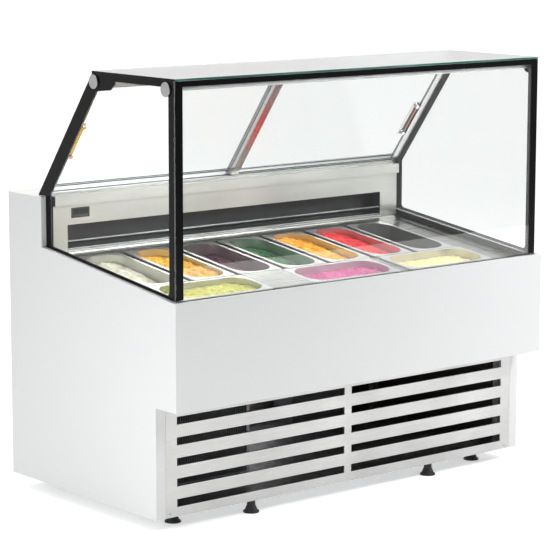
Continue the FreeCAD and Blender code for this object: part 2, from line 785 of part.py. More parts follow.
def clamp_washers():
    """Dark washers between the caps and the side glass."""
    washers = []
    for y in (CLAMP_FRONT, CLAMP_BACK):
        place = V(SIDE_GLASS_OUT, y, TOP_UNDER - CLAMP_DROP)
        washer = Part.makeCylinder(CLAMP_RADIUS - WASHER_THICK, WASHER_THICK, place, V(1, 0, 0))
        washer = washer.cut(Part.makeCylinder(CLAMP_STEM, WASHER_THICK, place, V(1, 0, 0)))
        washers += [washer, mirrored(washer)]
    return washers


def glass_seals():
    """Black seals: under the front glass, outside each side glass and under the clamps."""
    seat = FRONT_BOX_TOP - GLASS_SEAT
    y0 = GLASS_FRONT - SEAL
    top = FRONT_BOX_TOP + SEAL_PROUD
    front = profile_x(
        [
            (y0, seat - SEAL),
            (GLASS_BACK, seat - SEAL),
            (GLASS_BACK, seat),
            (GLASS_FRONT, seat),
            (GLASS_FRONT, top),
            (y0, top),
        ],
        -CANOPY_HALF,
        CANOPY_HALF,
    )
    y2 = GLASS_BACK + JOINT
    y1 = COUNTER_FRONT - JOINT
    low = GLASS_SEAT - JOINT
    side = profile_x(
        [
            (y2, rim_line(y2) - low),
            (y1, rim_line(y1) - low),
            (y1, rim_line(y1) + SEAL_PROUD),
            (y2, rim_line(y2) + SEAL_PROUD),
        ],
        SIDE_GLASS_OUT,
        SIDE_GLASS_OUT + SEAL,
    )
    return group([front, side, mirrored(side)] + clamp_washers())


def front_top_rail():
    """Aluminium box profile under the top glass, grooved below for the lamp."""
    x = SIDE_GLASS_IN - JOINT
    y0 = CLAMP_FRONT - TOP_RAIL_WIDE / 2
    y1 = CLAMP_FRONT + TOP_RAIL_WIDE / 2
    z1 = TOP_UNDER - JOINT
    z0 = z1 - TOP_RAIL_TALL
    w = TOP_RAIL_WALL
    rail = box(-x, x, y0, y1, z0, z1)
    hollow = box(-x + w, x - w, y0 + w, y1 - w, z0 + LAMP_TALL + w, z1 - w)
    groove = box(-x + w, x - w, y0 + LAMP_EDGE, y0 + LAMP_EDGE + LAMP_WIDE, z0, z0 + LAMP_TALL)
    return rail.cut([hollow, groove])


def led_lamp():
    """Lamp strip with a bowed diffuser in the rail's groove."""
    x = SIDE_GLASS_IN - JOINT - TOP_RAIL_WALL - JOINT
    y0 = CLAMP_FRONT - TOP_RAIL_WIDE / 2 + LAMP_EDGE + JOINT
    y1 = y0 + LAMP_WIDE - 2 * JOINT
    z1 = TOP_UNDER - JOINT - TOP_RAIL_TALL + LAMP_TALL
    z0 = z1 - LAMP_TALL
    middle = V(-x, (y0 + y1) / 2, z0 - LAMP_BOW)
    bow = Part.Arc(V(-x, y0, z0), middle, V(-x, y1, z0)).toShape()
    sides = [V(-x, y1, z0), V(-x, y1, z1), V(-x, y0, z1), V(-x, y0, z0)]
    edges = [bow] + [Part.makeLine(a, b) for a, b in zip(sides, sides[1:])]
    return Part.Face(Part.Wire(edges)).extrude(V(2 * x, 0, 0))


def door_plane(row):
    """Depth of a door's middle plane inwards from the slanted edge: row 0 is outermost."""
    return DOOR_INSET + row * DOOR_SPACING


def track(low, high, groove_low, groove_high):
    """Grooved guide across the cabinet, between two heights up the slant."""
    x = SIDE_GLASS_IN - JOINT
    block = box(-x, x, low, high, 0, TRACK_WIDE)
    for row in (0, 1):
        w = door_plane(row)
        half = DOOR_PANE / 2 + TRACK_GAP
        block = block.cut(box(-x, x, groove_low, groove_high, w - half, w + half))
    return on_slant(block)


def lower_door_track():
    top = DOOR_FOOT + TRACK_BITE
    block = track(-TRACK_WIDE, top, DOOR_FOOT - TRACK_GAP, top)
    return block.common(box(-HALF, HALF, 0, DEPTH, COUNTER_TOP, HEIGHT))


def upper_door_track():
    low = DOOR_HEAD - TRACK_BITE
    block = track(low, DOOR_HEAD + 2 * TRACK_WIDE, low, DOOR_HEAD + STILE_GAP)
    return block.common(box(-HALF, HALF, 0, DEPTH, COUNTER_TOP, TOP_UNDER - JOINT))


def door_edges():
    """X of the right door's inner and outer edges."""
    return -DOOR_LAP, SIDE_GLASS_IN - JOINT - DOOR_SIDE_GAP


def door_pane(row):
    """Right door's glass, drilled for its handle."""
    x0, x1 = door_edges()
    w = door_plane(row)
    half = DOOR_PANE / 2
    pane = box(x0 + SHEET, x1 - SHEET, DOOR_FOOT, DOOR_HEAD, w - half, w + half)
    edge = x1 - HANDLE_EDGE
    for side in (-1, 1):
        u = HANDLE_CENTRE + side * SCREW_PITCH / 2
        hole = Part.makeCylinder(BOLT_HOLE, DOOR_PANE, V(edge, u, w - half))
        pane = pane.cut(hole)
    return on_slant(pane)


def door_stiles(row):
    """Aluminium channels down both upright edges of the pane."""
    x0, x1 = door_edges()
    w = door_plane(row)
    low = DOOR_FOOT + TRACK_BITE + STILE_GAP
    high = DOOR_HEAD - TRACK_BITE - STILE_GAP
    half = STILE_THICK / 2
    slot = DOOR_PANE / 2
    stiles = []
    for a, b in ((x0, x0 + STILE_WIDE), (x1 - STILE_WIDE, x1)):
        stile = box(a, b, low, high, w - half, w + half)
        inside = box(max(a, x0 + SHEET), min(b, x1 - SHEET), low, high, w - slot, w + slot)
        stiles.append(on_slant(stile.cut(inside)))
    return group(stiles)


def door_handle(row):
    """Pull bar on two screws through the pane."""
    _, x1 = door_edges()
    x = x1 - HANDLE_EDGE
    w = door_plane(row)
    face = w - DOOR_PANE / 2
    back = face - HANDLE_STANDOFF
    u0 = HANDLE_CENTRE - HANDLE_LONG / 2
    half = HANDLE_WIDE / 2
    bar = box(x - half, x + half, u0, u0 + HANDLE_LONG, back - HANDLE_THICK, back)
    bar = bar.makeFillet(HANDLE_ROUND, [e for e in bar.Edges if e.BoundBox.ZMax < back - 0.1])
    for side in (-1, 1):
        u = HANDLE_CENTRE + side * SCREW_PITCH / 2
        stand = Part.makeCylinder(SCREW_RADIUS, HANDLE_STANDOFF, V(x, u, back))
        bolt_long = HANDLE_STANDOFF + DOOR_PANE + HANDLE_NUT / 2
        screw = Part.makeCylinder(HANDLE_BOLT, bolt_long, V(x, u, back))
        nut = Part.makeCylinder(SCREW_RADIUS, HANDLE_NUT, V(x, u, w + DOOR_PANE / 2))
        bar = bar.fuse([stand, screw, nut])
    return on_slant(bar.removeSplitter())


# ---------------------------------------------------------------- refrigeration and electrics

def fan(x, y, z, radius, deep):
    """Axial fan that blows along Y, with twisted blades on a bored hub."""
    rotor = Part.makeCylinder(HUB_RADIUS, deep, V(x, y, z), V(0, 1, 0))
    root = HUB_RADIUS - BLADE_ROOT
    thin = BLADE_SHEET / 2
    for i in range(FAN_BLADES):
        blade = box(root, radius, -deep / 2, deep / 2, -thin, thin)
        blade.rotate(V(0, 0, 0), V(1, 0, 0), FAN_BLADE_ANGLE)
        blade.rotate(V(0, 0, 0), V(0, 1, 0), i * 360 / FAN_BLADES)
        blade.translate(V(x, y + deep / 2, z))
        rotor = rotor.fuse(blade)
    swept = Part.makeCylinder(radius, deep, V(x, y, z), V(0, 1, 0))
    bore = Part.makeCylinder(SHAFT_RADIUS + FIT, deep, V(x, y, z), V(0, 1, 0))
    return rotor.common(swept).cut(bore).removeSplitter()


def fan_mount(x, y, z, radius, deep):
    """Motor on a cross bracket behind a fan, with the shaft that carries the hub."""
    arm = MOTOR_ARM
    reach = radius + 2 * FAN_GAP
    motor_y = y + deep + FAN_GAP
    motor = Part.makeCylinder(MOTOR_RADIUS, MOTOR_LONG, V(x, motor_y, z), V(0, 1, 0))
    shaft = Part.makeCylinder(SHAFT_RADIUS, deep + FAN_GAP + 1, V(x, y, z), V(0, 1, 0))
    level = box(x - reach, x + reach, motor_y, motor_y + arm, z - arm, z + arm)
    upright = box(x - arm, x + arm, motor_y, motor_y + arm, z - reach, z + reach)
    return motor.fuse([shaft, level, upright])


def finned_block(x, half_x, y0, y1, z0, z1):
    """Heat exchanger: upright fins in a frame, with a row of tubes through them."""
    core = centred_box(x, half_x, y0, y1, z0, z1)
    count = int((2 * half_x - 2 * FIN_PITCH) / FIN_PITCH)
    start = x - count * FIN_PITCH / 2
    gaps = []
    for i in range(count):
        a = start + i * FIN_PITCH + FIN_THICK
        b = start + (i + 1) * FIN_PITCH
        gaps.append(box(a, b, y0, y1, z0 + PLATE, z1 - PLATE))
    core = core.cut(gaps)
    rows = int((z1 - z0) / TUBE_PITCH)
    tubes = []
    for i in range(rows):
        z = z0 + (i + 0.5) * (z1 - z0) / rows
        place = V(x - half_x, (y0 + y1) / 2, z)
        tubes.append(Part.makeCylinder(PIPE_RADIUS, 2 * half_x, place, V(1, 0, 0)))
    return core.fuse(tubes)


def shroud(x, half_x, y, deep, z0, z1, fan_x, fan_z, radius):
    """Open box with round fan mouths in its far wall."""
    shell = centred_box(x, half_x, y, y + deep, z0, z1)
    inside = centred_box(x, half_x - PLATE, y, y + deep - PLATE, z0 + PLATE, z1 - PLATE)
    shell = shell.cut(inside)
    for middle in fan_x:
        mouth = Part.makeCylinder(radius + FAN_GAP, 2 * deep, V(middle, y, fan_z), V(0, 1, 0))
        shell = shell.cut(mouth)
    return shell


def evaporator_coil():
    """Finned evaporator on two feet, with its fan plate and fan motors."""
    half = COIL_WIDE / 2
    inset, wide = COIL_FOOT
    coil = finned_block(0, half, COIL_FRONT, COIL_BACK, COIL_LOW, COIL_HIGH)
    centres = (-FAN_SPREAD, FAN_SPREAD)
    deep = COIL_FAN_DEEP + 2 * FAN_GAP
    plate = shroud(0, half, COIL_BACK, deep, COIL_LOW, COIL_HIGH, centres, COIL_FAN_Z, FAN_RADIUS)
    pieces = [plate]
    for x in centres:
        pieces.append(fan_mount(x, COIL_FAN_Y, COIL_FAN_Z, FAN_RADIUS, COIL_FAN_DEEP))
    for side in (-1, 1):
        x = side * (half - inset)
        pieces.append(centred_box(x, wide, COIL_FRONT, COIL_BACK, COIL_LOW - COIL_CLEAR, COIL_LOW))
    return coil.fuse(pieces).removeSplitter()


def condenser_coil():
    """Finned condenser on two feet behind the kick grille."""
    half = CONDENSER_WIDE / 2
    inset, wide = CONDENSER_FOOT
    y0, y1 = CONDENSER_FRONT, CONDENSER_BACK
    core = finned_block(CONDENSER_X, half, y0, y1, CONDENSER_LOW, CONDENSER_HIGH)
    feet = []
    for side in (-1, 1):
        x = CONDENSER_X + side * (half - inset)
        feet.append(centred_box(x, wide, y0, y1, TRAY_TOP, CONDENSER_LOW))
    return core.fuse(feet).removeSplitter()


def fan_shroud():
    """Sheet shroud behind the condenser, with the fan motor on its bracket."""
    half = CONDENSER_WIDE / 2
    y = CONDENSER_BACK + JOINT
    x, z = CONDENSER_X, CONDENSER_MIDDLE
    radius = CONDENSER_FAN_RADIUS
    shell = shroud(x, half, y, SHROUD_DEEP, CONDENSER_LOW, CONDENSER_HIGH, (x,), z, radius)
    mount = fan_mount(x, CONDENSER_FAN_Y, z, radius, CONDENSER_FAN_DEEP)
    return shell.fuse(mount).removeSplitter()


def compressor():
    """Hermetic compressor: a domed can on a mounting plate, with a terminal box."""
    x, y = CONDENSER_X, COMPRESSOR_Y
    r = COMPRESSOR_RADIUS
    low = TRAY_TOP + COIL_CLEAR
    can = Part.makeCylinder(r, COMPRESSOR_TALL, V(x, y, low))
    ends = [e for e in can.Edges if e.Closed and len(e.Vertexes) == 1]
    can = can.makeFillet(r / 2, ends)
    plate = centred_box(x, r, y - r, y + r, TRAY_TOP, TRAY_TOP + COMPRESSOR_PLATE)
    legs = Part.makeCylinder(r / 2, COIL_CLEAR + COMPRESSOR_PLATE, V(x, y, TRAY_TOP))
    long, wide, tall = TERMINAL_SIZE
    x0, z0 = x + r - TERMINAL_SUNK, low + TERMINAL_RISE
    terminal = box(x0, x0 + long, y - wide / 2, y + wide / 2, z0, z0 + tall)
    return can.fuse([plate, legs, terminal]).removeSplitter()


def tube(points, bend):
    """Round tube along straight runs joined by arcs of one bend radius."""
    edges = []
    start = points[0]
    for before, corner, after in zip(points, points[1:], points[2:]):
        into = (corner - before).normalize()
        out = (after - corner).normalize()
        half_turn = into.getAngle(out) / 2
        back = bend * math.tan(half_turn)
        a = corner - into * back
        b = corner + out * back
        bisector = (out - into).normalize()
        middle = corner + bisector * (bend / math.cos(half_turn) - bend)
        edges.append(Part.makeLine(start, a))
        edges.append(Part.Arc(a, middle, b).toShape())
        start = b
    edges.append(Part.makeLine(start, points[-1]))
    path = Part.Wire(edges)
    first = (points[1] - points[0]).normalize()
    circle = Part.Wire(Part.makeCircle(PIPE_RADIUS, points[0], first))
    return path.makePipeShell([circle], True, False)


def refrigerant_pipes():
    """Copper discharge line to the condenser, and suction line up to the tank floor."""
    y = COMPRESSOR_Y
    top = TRAY_TOP + COIL_CLEAR + COMPRESSOR_TALL
    end = CONDENSER_X + CONDENSER_WIDE / 2
    inlet = CONDENSER_HIGH - CONDENSER_INLET
    middle = (CONDENSER_FRONT + CONDENSER_BACK) / 2
    x, level = CONDENSER_X + PIPE_SPREAD, top + DISCHARGE_RISE
    discharge = [
        V(x, y, top),
        V(x, y, level),
        V(end + PIPE_CLEAR, y, level),
        V(end + PIPE_CLEAR, middle, level),
        V(end + PIPE_CLEAR, middle, inlet),
        V(end, middle, inlet),
    ]
    x, level = CONDENSER_X - PIPE_SPREAD, top + SUCTION_RISE
    suction = [
        V(x, y, top),
        V(x, y, level),
        V(x, y + SUCTION_BACK, level),
        V(x, y + SUCTION_BACK, TANK_BOTTOM),
    ]
    return group([tube(discharge, PIPE_BEND), tube(suction, PIPE_BEND)])


def control_box():
    """Electrical box on the tray inside the rear panel."""
    wide, deep, tall = CONTROL_SIZE
    back = REAR_FACE - SHEET - JOINT
    low = SWITCH_Z - tall / 2
    w = PLATE
    case = centred_box(CONTROL_X, wide / 2, back - deep, back, TRAY_TOP, low + tall)
    inside = centred_box(
        CONTROL_X, wide / 2 - w, back - deep + w, back - w, TRAY_TOP + w, low + tall - w
    )
    room_x = SWITCH_WIDE / 2 + SWITCH_GAP
    room_z = SWITCH_TALL / 2 + SWITCH_GAP
    socket = centred_box(
        CONTROL_X, room_x + w, back - SWITCH_ROOM, back, SWITCH_Z - room_z - w, SWITCH_Z + room_z + w
    )
    room = centred_box(
        CONTROL_X, room_x, back - SWITCH_ROOM + w, back, SWITCH_Z - room_z, SWITCH_Z + room_z
    )
    place = V(CONTROL_X - room_x - w, SWITCH_PIVOT_Y, SWITCH_Z)
    pin = Part.makeCylinder(SWITCH_PIN, 2 * (room_x + w), place, V(1, 0, 0))
    return case.cut(inside).fuse(socket).cut(room).fuse(pin).removeSplitter()


def power_switch():
    """Rocker that tips about a pin across its middle."""
    y = SWITCH_PIVOT_Y
    half = SWITCH_TALL / 2
    tip = half - SWITCH_PIN / 2
    points = [
        (y - ROCKER_BACK, SWITCH_Z - ROCKER_ROOT),
        (y - ROCKER_BACK, SWITCH_Z + ROCKER_ROOT),
        (y + ROCKER_EDGE, SWITCH_Z + half),
        (y + ROCKER_TIP, SWITCH_Z + tip),
        (y + ROCKER_DIP, SWITCH_Z),
        (y + ROCKER_TIP, SWITCH_Z - tip),
        (y + ROCKER_EDGE, SWITCH_Z - half),
    ]
    x = CONTROL_X - SWITCH_WIDE / 2
    rocker = profile_x(points, x, x + SWITCH_WIDE)
    bore = Part.makeCylinder(SWITCH_PIN + FIT, SWITCH_WIDE, V(x, y, SWITCH_Z), V(1, 0, 0))
    return rocker.cut(bore)


def cable_gland():
    """Gland through the rear panel: a nut inside, a domed cap outside and a bore."""
    place = V(GLAND_X, REAR_FACE, GLAND_Z)
    out = V(0, 1, 0)
    cap = Part.makeCylinder(GLAND_RADIUS, GLAND_CAP, place, out)
    dome_top = GLAND_RADIUS - GLAND_DOME
    dome = Part.makeCone(GLAND_RADIUS, dome_top, GLAND_DOME, place + out * GLAND_CAP, out)
    stem = Part.makeCylinder(GLAND_HOLE - JOINT, GLAND_STEM, place - out * GLAND_STEM, out)
    nut = Part.makeCylinder(GLAND_RADIUS, GLAND_DOME, place - out * (SHEET + GLAND_DOME), out)
    long = GLAND_STEM + GLAND_CAP + GLAND_DOME
    bore = Part.makeCylinder(GLAND_BORE, long, place - out * GLAND_STEM, out)
    return cap.fuse([dome, stem, nut]).cut(bore).removeSplitter()


# ---------------------------------------------------------------- the assembly

save("base_tray", base_tray())
save("tank_support_frame", tank_support_frame())
for name, (x, y) in FEET.items():
    save(name, levelling_foot(x, y))

save("right_side_panel", side_panel())
save("left_side_panel", mirrored(side_panel()))
save("front_panel", front_panel())
save("kick_grille", kick_grille())
save("rear_panel", rear_panel())
save("rear_counter", rear_counter())
save("panel_screws", panel_screws())

save("tank_insulation", tank_insulation())
save("tank_liner", tank_liner())
save("deck_frame", deck_frame())
save("pan_dividers", pan_dividers())
save("filler_plate", filler_plate())
save("duct_fascia", duct_fascia())
save("discharge_louvres", discharge_louvres())
save("temperature_display", temperature_display())

for i in range(BACK_PANS):
    x = BACK_ROW_SHIFT + (i - (BACK_PANS - 1) / 2) * PAN_PITCH
    s = (BACK_ROW_START + BACK_ROW_END) / 2
    save(f"back_pan_{i + 1}", pan(x, s, PAN_WIDE / 2, PAN_LONG / 2))
for name, x in FRONT_PANS.items():
    s = (FRONT_ROW_START + FRONT_ROW_END) / 2
    save(name, pan(x, s, PAN_LONG / 2, PAN_WIDE / 2))

save("side_glass_right", side_glass())
save("side_glass_left", mirrored(side_glass()))
save("front_glass", front_glass())
save("top_glass", top_glass())
save("glass_clamps", glass_clamps())
save("glass_seals", glass_seals())
save("front_top_rail", front_top_rail())
save("led_lamp", led_lamp())
save("lower_door_track", lower_door_track())
save("upper_door_track", upper_door_track())

for side, row in (("left", 0), ("right", 1)):
    pieces = {"pane": door_pane(row), "stiles": door_stiles(row), "handle": door_handle(row)}
    for piece, shape in pieces.items():
        save(f"{side}_door_{piece}", mirrored(shape) if side == "left" else shape)

save("evaporator_coil", evaporator_coil())
for side, x in (("left", -FAN_SPREAD), ("right", FAN_SPREAD)):
    save(f"evaporator_fan_{side}", fan(x, COIL_FAN_Y, COIL_FAN_Z, FAN_RADIUS, COIL_FAN_DEEP))
save("condenser_coil", condenser_coil())
save("fan_shroud", fan_shroud())
condenser_place = (CONDENSER_X, CONDENSER_FAN_Y, CONDENSER_MIDDLE)
save("condenser_fan", fan(*condenser_place, CONDENSER_FAN_RADIUS, CONDENSER_FAN_DEEP))
save("compressor", compressor())
save("refrigerant_pipes", refrigerant_pipes())
save("control_box", control_box())
save("power_switch", power_switch())
save("cable_gland", cable_gland())
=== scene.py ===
import json
import math

import bmesh
import bpy
from mathutils import Matrix, Vector, noise


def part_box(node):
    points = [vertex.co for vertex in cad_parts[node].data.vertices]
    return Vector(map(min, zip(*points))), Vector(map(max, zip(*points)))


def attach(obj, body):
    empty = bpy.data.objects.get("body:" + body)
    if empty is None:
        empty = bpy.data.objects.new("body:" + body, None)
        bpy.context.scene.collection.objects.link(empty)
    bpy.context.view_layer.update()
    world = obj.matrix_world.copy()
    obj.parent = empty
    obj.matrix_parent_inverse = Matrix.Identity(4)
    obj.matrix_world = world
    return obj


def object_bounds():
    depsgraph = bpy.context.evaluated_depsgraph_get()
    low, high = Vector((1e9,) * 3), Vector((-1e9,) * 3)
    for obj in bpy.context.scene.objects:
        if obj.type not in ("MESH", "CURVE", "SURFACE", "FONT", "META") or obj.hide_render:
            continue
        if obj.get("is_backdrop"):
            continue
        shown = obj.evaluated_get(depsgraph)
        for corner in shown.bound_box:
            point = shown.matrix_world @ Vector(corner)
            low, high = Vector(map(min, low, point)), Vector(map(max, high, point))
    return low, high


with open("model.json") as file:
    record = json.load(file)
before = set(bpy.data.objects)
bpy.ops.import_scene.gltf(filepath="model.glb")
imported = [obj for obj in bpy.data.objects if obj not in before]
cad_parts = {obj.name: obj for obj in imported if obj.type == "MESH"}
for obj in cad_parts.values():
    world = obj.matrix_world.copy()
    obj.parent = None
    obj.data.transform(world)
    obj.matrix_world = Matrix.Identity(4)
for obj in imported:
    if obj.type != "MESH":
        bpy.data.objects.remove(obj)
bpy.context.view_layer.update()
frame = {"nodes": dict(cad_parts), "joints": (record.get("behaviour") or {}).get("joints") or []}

# ---------------------------------------------------------------- viewpoint
# The customer's view: from the front left, a little above the top of the canopy, through a
# long lens. Colours are shown as they are, so that white enamel stays white.
CAMERA_AT = Vector((-4.77795, -5.75760, 1.88469))
CAMERA_AZIMUTH = -0.690353
CAMERA_ELEVATION = 0.162599
CAMERA_ROLL = 0.001639
LENS = 154.3
SENSOR = 36

lens_data = bpy.data.cameras.new("customer_view")
lens_data.lens = LENS
lens_data.sensor_width = SENSOR
lens_data.clip_end = 200
camera = bpy.data.objects.new("customer_view", lens_data)
bpy.context.scene.collection.objects.link(camera)
camera.rotation_mode = "QUATERNION"
away = Vector((
    math.sin(CAMERA_AZIMUTH) * math.cos(CAMERA_ELEVATION),
    -math.cos(CAMERA_AZIMUTH) * math.cos(CAMERA_ELEVATION),
    math.sin(CAMERA_ELEVATION),
))
level_right = (-away).cross(Vector((0, 0, 1))).normalized()
turn = Matrix((level_right, away.cross(level_right), away)).transposed()
camera.rotation_quaternion = (turn @ Matrix.Rotation(CAMERA_ROLL, 3, "Z")).to_quaternion()
camera.location = CAMERA_AT
bpy.context.scene.camera = camera
bpy.context.scene.view_settings.view_transform = "Standard"


# ---------------------------------------------------------------- floor and studio light
# A pale floor that stops a few steps in front of the cabinet, where the room is darker, so
# that the front glass mirrors the floor only near its foot. Large soft lights hang round it.
FLOOR_FRONT = -4.37
FLOOR_REACH = 45
FLOOR_COLOUR = (0.9, 0.9, 0.895, 1)
FLOOR_GLOW = 0.42
SKY_BEHIND = 1.0
SKY_IN_FRONT = 0.2
ROOM_DARK = 0.16
LIGHTS = {
    # name: (place, aimed at, width, height, watts)
    "overhead_softbox": ((0.3, 1.2, 4.2), (0, 0.2, 0), 4.5, 3.5, 96),
    "left_softbox": ((-2.0, -0.72, 0.45), (-0.75, -0.42, 0.4), 0.8, 0.6, 9),
    "right_front_softbox": ((1.5, -1.9, 2.0), (0.7, -0.42, 0.45), 0.9, 0.9, 50),
}


def add(tree, kind, settings=None, **inputs):
    """New shader node. Settings are its own options, inputs the values or links of its sockets."""
    made = tree.nodes.new(kind)
    for key, value in (settings or {}).items():
        setattr(made, key, value)
    for key, value in inputs.items():
        socket = made.inputs[key.replace("_", " ")]
        if isinstance(value, bpy.types.NodeSocket):
            tree.links.new(value, socket)
        else:
            socket.default_value = value
    return made


def mixed_colour(tree, factor, first, second):
    """Colour between two others, by a mask or a plain share."""
    mix = add(tree, "ShaderNodeMix", {"data_type": "RGBA"})
    for socket, value in zip((mix.inputs[0], mix.inputs[6], mix.inputs[7]), (factor, first, second)):
        if isinstance(value, bpy.types.NodeSocket):
            tree.links.new(value, socket)
        else:
            socket.default_value = value
    return mix.outputs[2]


def remapped(tree, value, low, high, start=0.0, end=1.0):
    """Value from start to end, stretched to the range from low to high."""
    mapped = add(tree, "ShaderNodeMapRange", Value=value)
    for key, number in (("From Min", start), ("From Max", end), ("To Min", low), ("To Max", high)):
        mapped.inputs[key].default_value = number
    return mapped.outputs[0]


def finish(name, **sockets):
    """New material with one Principled shader, whose plain sockets are given here."""
    made = bpy.data.materials.new(name)
    made.use_nodes = True
    shader = made.node_tree.nodes["Principled BSDF"]
    for key, value in sockets.items():
        shader.inputs[key.replace("_", " ")].default_value = value
    return made, made.node_tree, shader


def new_piece(name, mesh, *materials):
    """Object of a mesh, in the scene, with its materials."""
    piece = bpy.data.objects.new(name, mesh)
    bpy.context.scene.collection.objects.link(piece)
    for made in materials:
        mesh.materials.append(made)
    return piece


floor_mesh = bpy.data.meshes.new("studio_floor")
floor_mesh.from_pydata(
    [
        (-FLOOR_REACH, FLOOR_FRONT, 0),
        (FLOOR_REACH, FLOOR_FRONT, 0),
        (FLOOR_REACH, FLOOR_REACH, 0),
        (-FLOOR_REACH, FLOOR_REACH, 0),
    ],
    [],
    [(0, 1, 2, 3)],
)
floor_finish, tree, shader = finish("floor_white", Base_Color=FLOOR_COLOUR, Roughness=0.75)
shader.inputs["Emission Color"].default_value = FLOOR_COLOUR
shader.inputs["Emission Strength"].default_value = FLOOR_GLOW
floor = new_piece("studio_floor", floor_mesh, floor_finish)
floor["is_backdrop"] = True

world = bpy.data.worlds.new("studio")
world.use_nodes = True
bpy.context.scene.world = world
tree = world.node_tree
height = add(tree, "ShaderNodeSeparateXYZ", Vector=add(tree, "ShaderNodeTexCoord").outputs["Generated"])
above = remapped(tree, height.outputs["Y"], SKY_IN_FRONT, SKY_BEHIND, -1.0, 0.3)
below = add(tree, "ShaderNodeMath", {"operation": "LESS_THAN"})
tree.links.new(height.outputs["Z"], below.inputs[0])
below.inputs[1].default_value = 0
sky = mixed_colour(tree, below.outputs[0], (1, 1, 1, 1), (ROOM_DARK, ROOM_DARK, ROOM_DARK, 1))
level = mixed_colour(tree, below.outputs[0], above, (1, 1, 1, 1))
tree.links.new(sky, tree.nodes["Background"].inputs["Color"])
tree.links.new(level, tree.nodes["Background"].inputs["Strength"])

for name, (place, aim, width, tall, watts) in LIGHTS.items():
    lamp_data = bpy.data.lights.new(name, "AREA")
    lamp_data.shape = "RECTANGLE"
    lamp_data.size = width
    lamp_data.size_y = tall
    lamp_data.energy = watts
    lamp = bpy.data.objects.new(name, lamp_data)
    bpy.context.scene.collection.objects.link(lamp)
    lamp.location = place
    lamp.rotation_mode = "QUATERNION"
    lamp.rotation_quaternion = (Vector(aim) - Vector(place)).to_track_quat("-Z", "Y")


# ---------------------------------------------------------------- base tray and support frame
# A folded tray and square-tube posts of galvanised steel, bolted together. The zinc has
# frozen in flat grains, which differ a little in shade and in gloss.
ZINC_LIGHT = (0.66, 0.67, 0.68, 1)
ZINC_DARK = (0.47, 0.49, 0.51, 1)


def shared_group(name, inputs, outputs):
    """New node group with its sockets, ready to be filled, and its two end nodes."""
    group = bpy.data.node_groups.new(name, "ShaderNodeTree")
    for label, kind, value in inputs:
        socket = group.interface.new_socket(label, in_out="INPUT", socket_type=kind)
        socket.default_value = value
    for label, kind in outputs:
        group.interface.new_socket(label, in_out="OUTPUT", socket_type=kind)
    return group, group.nodes.new("NodeGroupInput"), group.nodes.new("NodeGroupOutput")


def use(tree, group, **inputs):
    """Places a shared group in a material with its own values, and gives its outputs."""
    made = add(tree, "ShaderNodeGroup", {"node_tree": group}, **inputs)
    return made.outputs


def scaled_place(tree, scale):
    """Position on the piece in metres, multiplied by a number or by a vector."""
    place = add(tree, "ShaderNodeTexCoord").outputs["Object"]
    scaled = add(tree, "ShaderNodeVectorMath", {"operation": "MULTIPLY"})
    tree.links.new(place, scaled.inputs[0])
    if isinstance(scale, bpy.types.NodeSocket):
        tree.links.new(scale, scaled.inputs[1])
    else:
        scaled.inputs[1].default_value = scale
    return scaled.outputs[0]


def bumped(tree, shader, height, depth, strength=1.0):
    """Bump of a real depth in metres, fed to the shader's normal."""
    bump = add(tree, "ShaderNodeBump", Height=height, Distance=depth, Strength=strength)
    tree.links.new(bump.outputs[0], shader.inputs["Normal"])


def dress(made, *nodes):
    """Gives a material to CAD nodes."""
    for name in nodes:
        for slot in frame["nodes"][name].material_slots:
            slot.material = made


smudges, inside, outside = shared_group(
    "smudges",
    [("Size", "NodeSocketFloat", 6.0), ("Contrast", "NodeSocketFloat", 0.5)],
    [("Mask", "NodeSocketFloat")],
)
cloud = add(smudges, "ShaderNodeTexNoise", Scale=inside.outputs["Size"], Detail=5, Roughness=0.6)
smudges.links.new(scaled_place(smudges, (1, 1, 1)), cloud.inputs["Vector"])
spread = add(smudges, "ShaderNodeMath", {"operation": "MULTIPLY_ADD"})
smudges.links.new(cloud.outputs[0], spread.inputs[0])
smudges.links.new(inside.outputs["Contrast"], spread.inputs[1])
spread.inputs[2].default_value = 0.25
spread.use_clamp = True
smudges.links.new(spread.outputs[0], outside.inputs["Mask"])

edge_wear, inside, outside = shared_group(
    "edge_wear",
    [("Radius", "NodeSocketFloat", 0.002), ("Amount", "NodeSocketFloat", 2.0)],
    [("Mask", "NodeSocketFloat")],
)
rounded = add(edge_wear, "ShaderNodeBevel", {"samples": 4}, Radius=inside.outputs["Radius"])
sharp = add(edge_wear, "ShaderNodeNewGeometry")
agreement = add(edge_wear, "ShaderNodeVectorMath", {"operation": "DOT_PRODUCT"})
edge_wear.links.new(rounded.outputs[0], agreement.inputs[0])
edge_wear.links.new(sharp.outputs["Normal"], agreement.inputs[1])
turned = add(edge_wear, "ShaderNodeMath", {"operation": "SUBTRACT"})
turned.inputs[0].default_value = 1
edge_wear.links.new(agreement.outputs["Value"], turned.inputs[1])
worn = add(edge_wear, "ShaderNodeMath", {"operation": "MULTIPLY", "use_clamp": True})
edge_wear.links.new(turned.outputs[0], worn.inputs[0])
edge_wear.links.new(inside.outputs["Amount"], worn.inputs[1])
edge_wear.links.new(worn.outputs[0], outside.inputs["Mask"])

zinc, tree, shader = finish("galvanised_sheet", Metallic=1.0)
grains = add(tree, "ShaderNodeTexVoronoi", Scale=70, Vector=scaled_place(tree, (1, 1, 1)))
shade = add(tree, "ShaderNodeSeparateColor", Color=grains.outputs["Color"])
tone = mixed_colour(tree, shade.outputs[0], ZINC_LIGHT, ZINC_DARK)
tree.links.new(tone, shader.inputs["Base Color"])
tree.links.new(remapped(tree, shade.outputs[1], 0.34, 0.52), shader.inputs["Roughness"])
bumped(tree, shader, shade.outputs[2], 0.00002)
dress(zinc, "base_tray", "tank_support_frame")


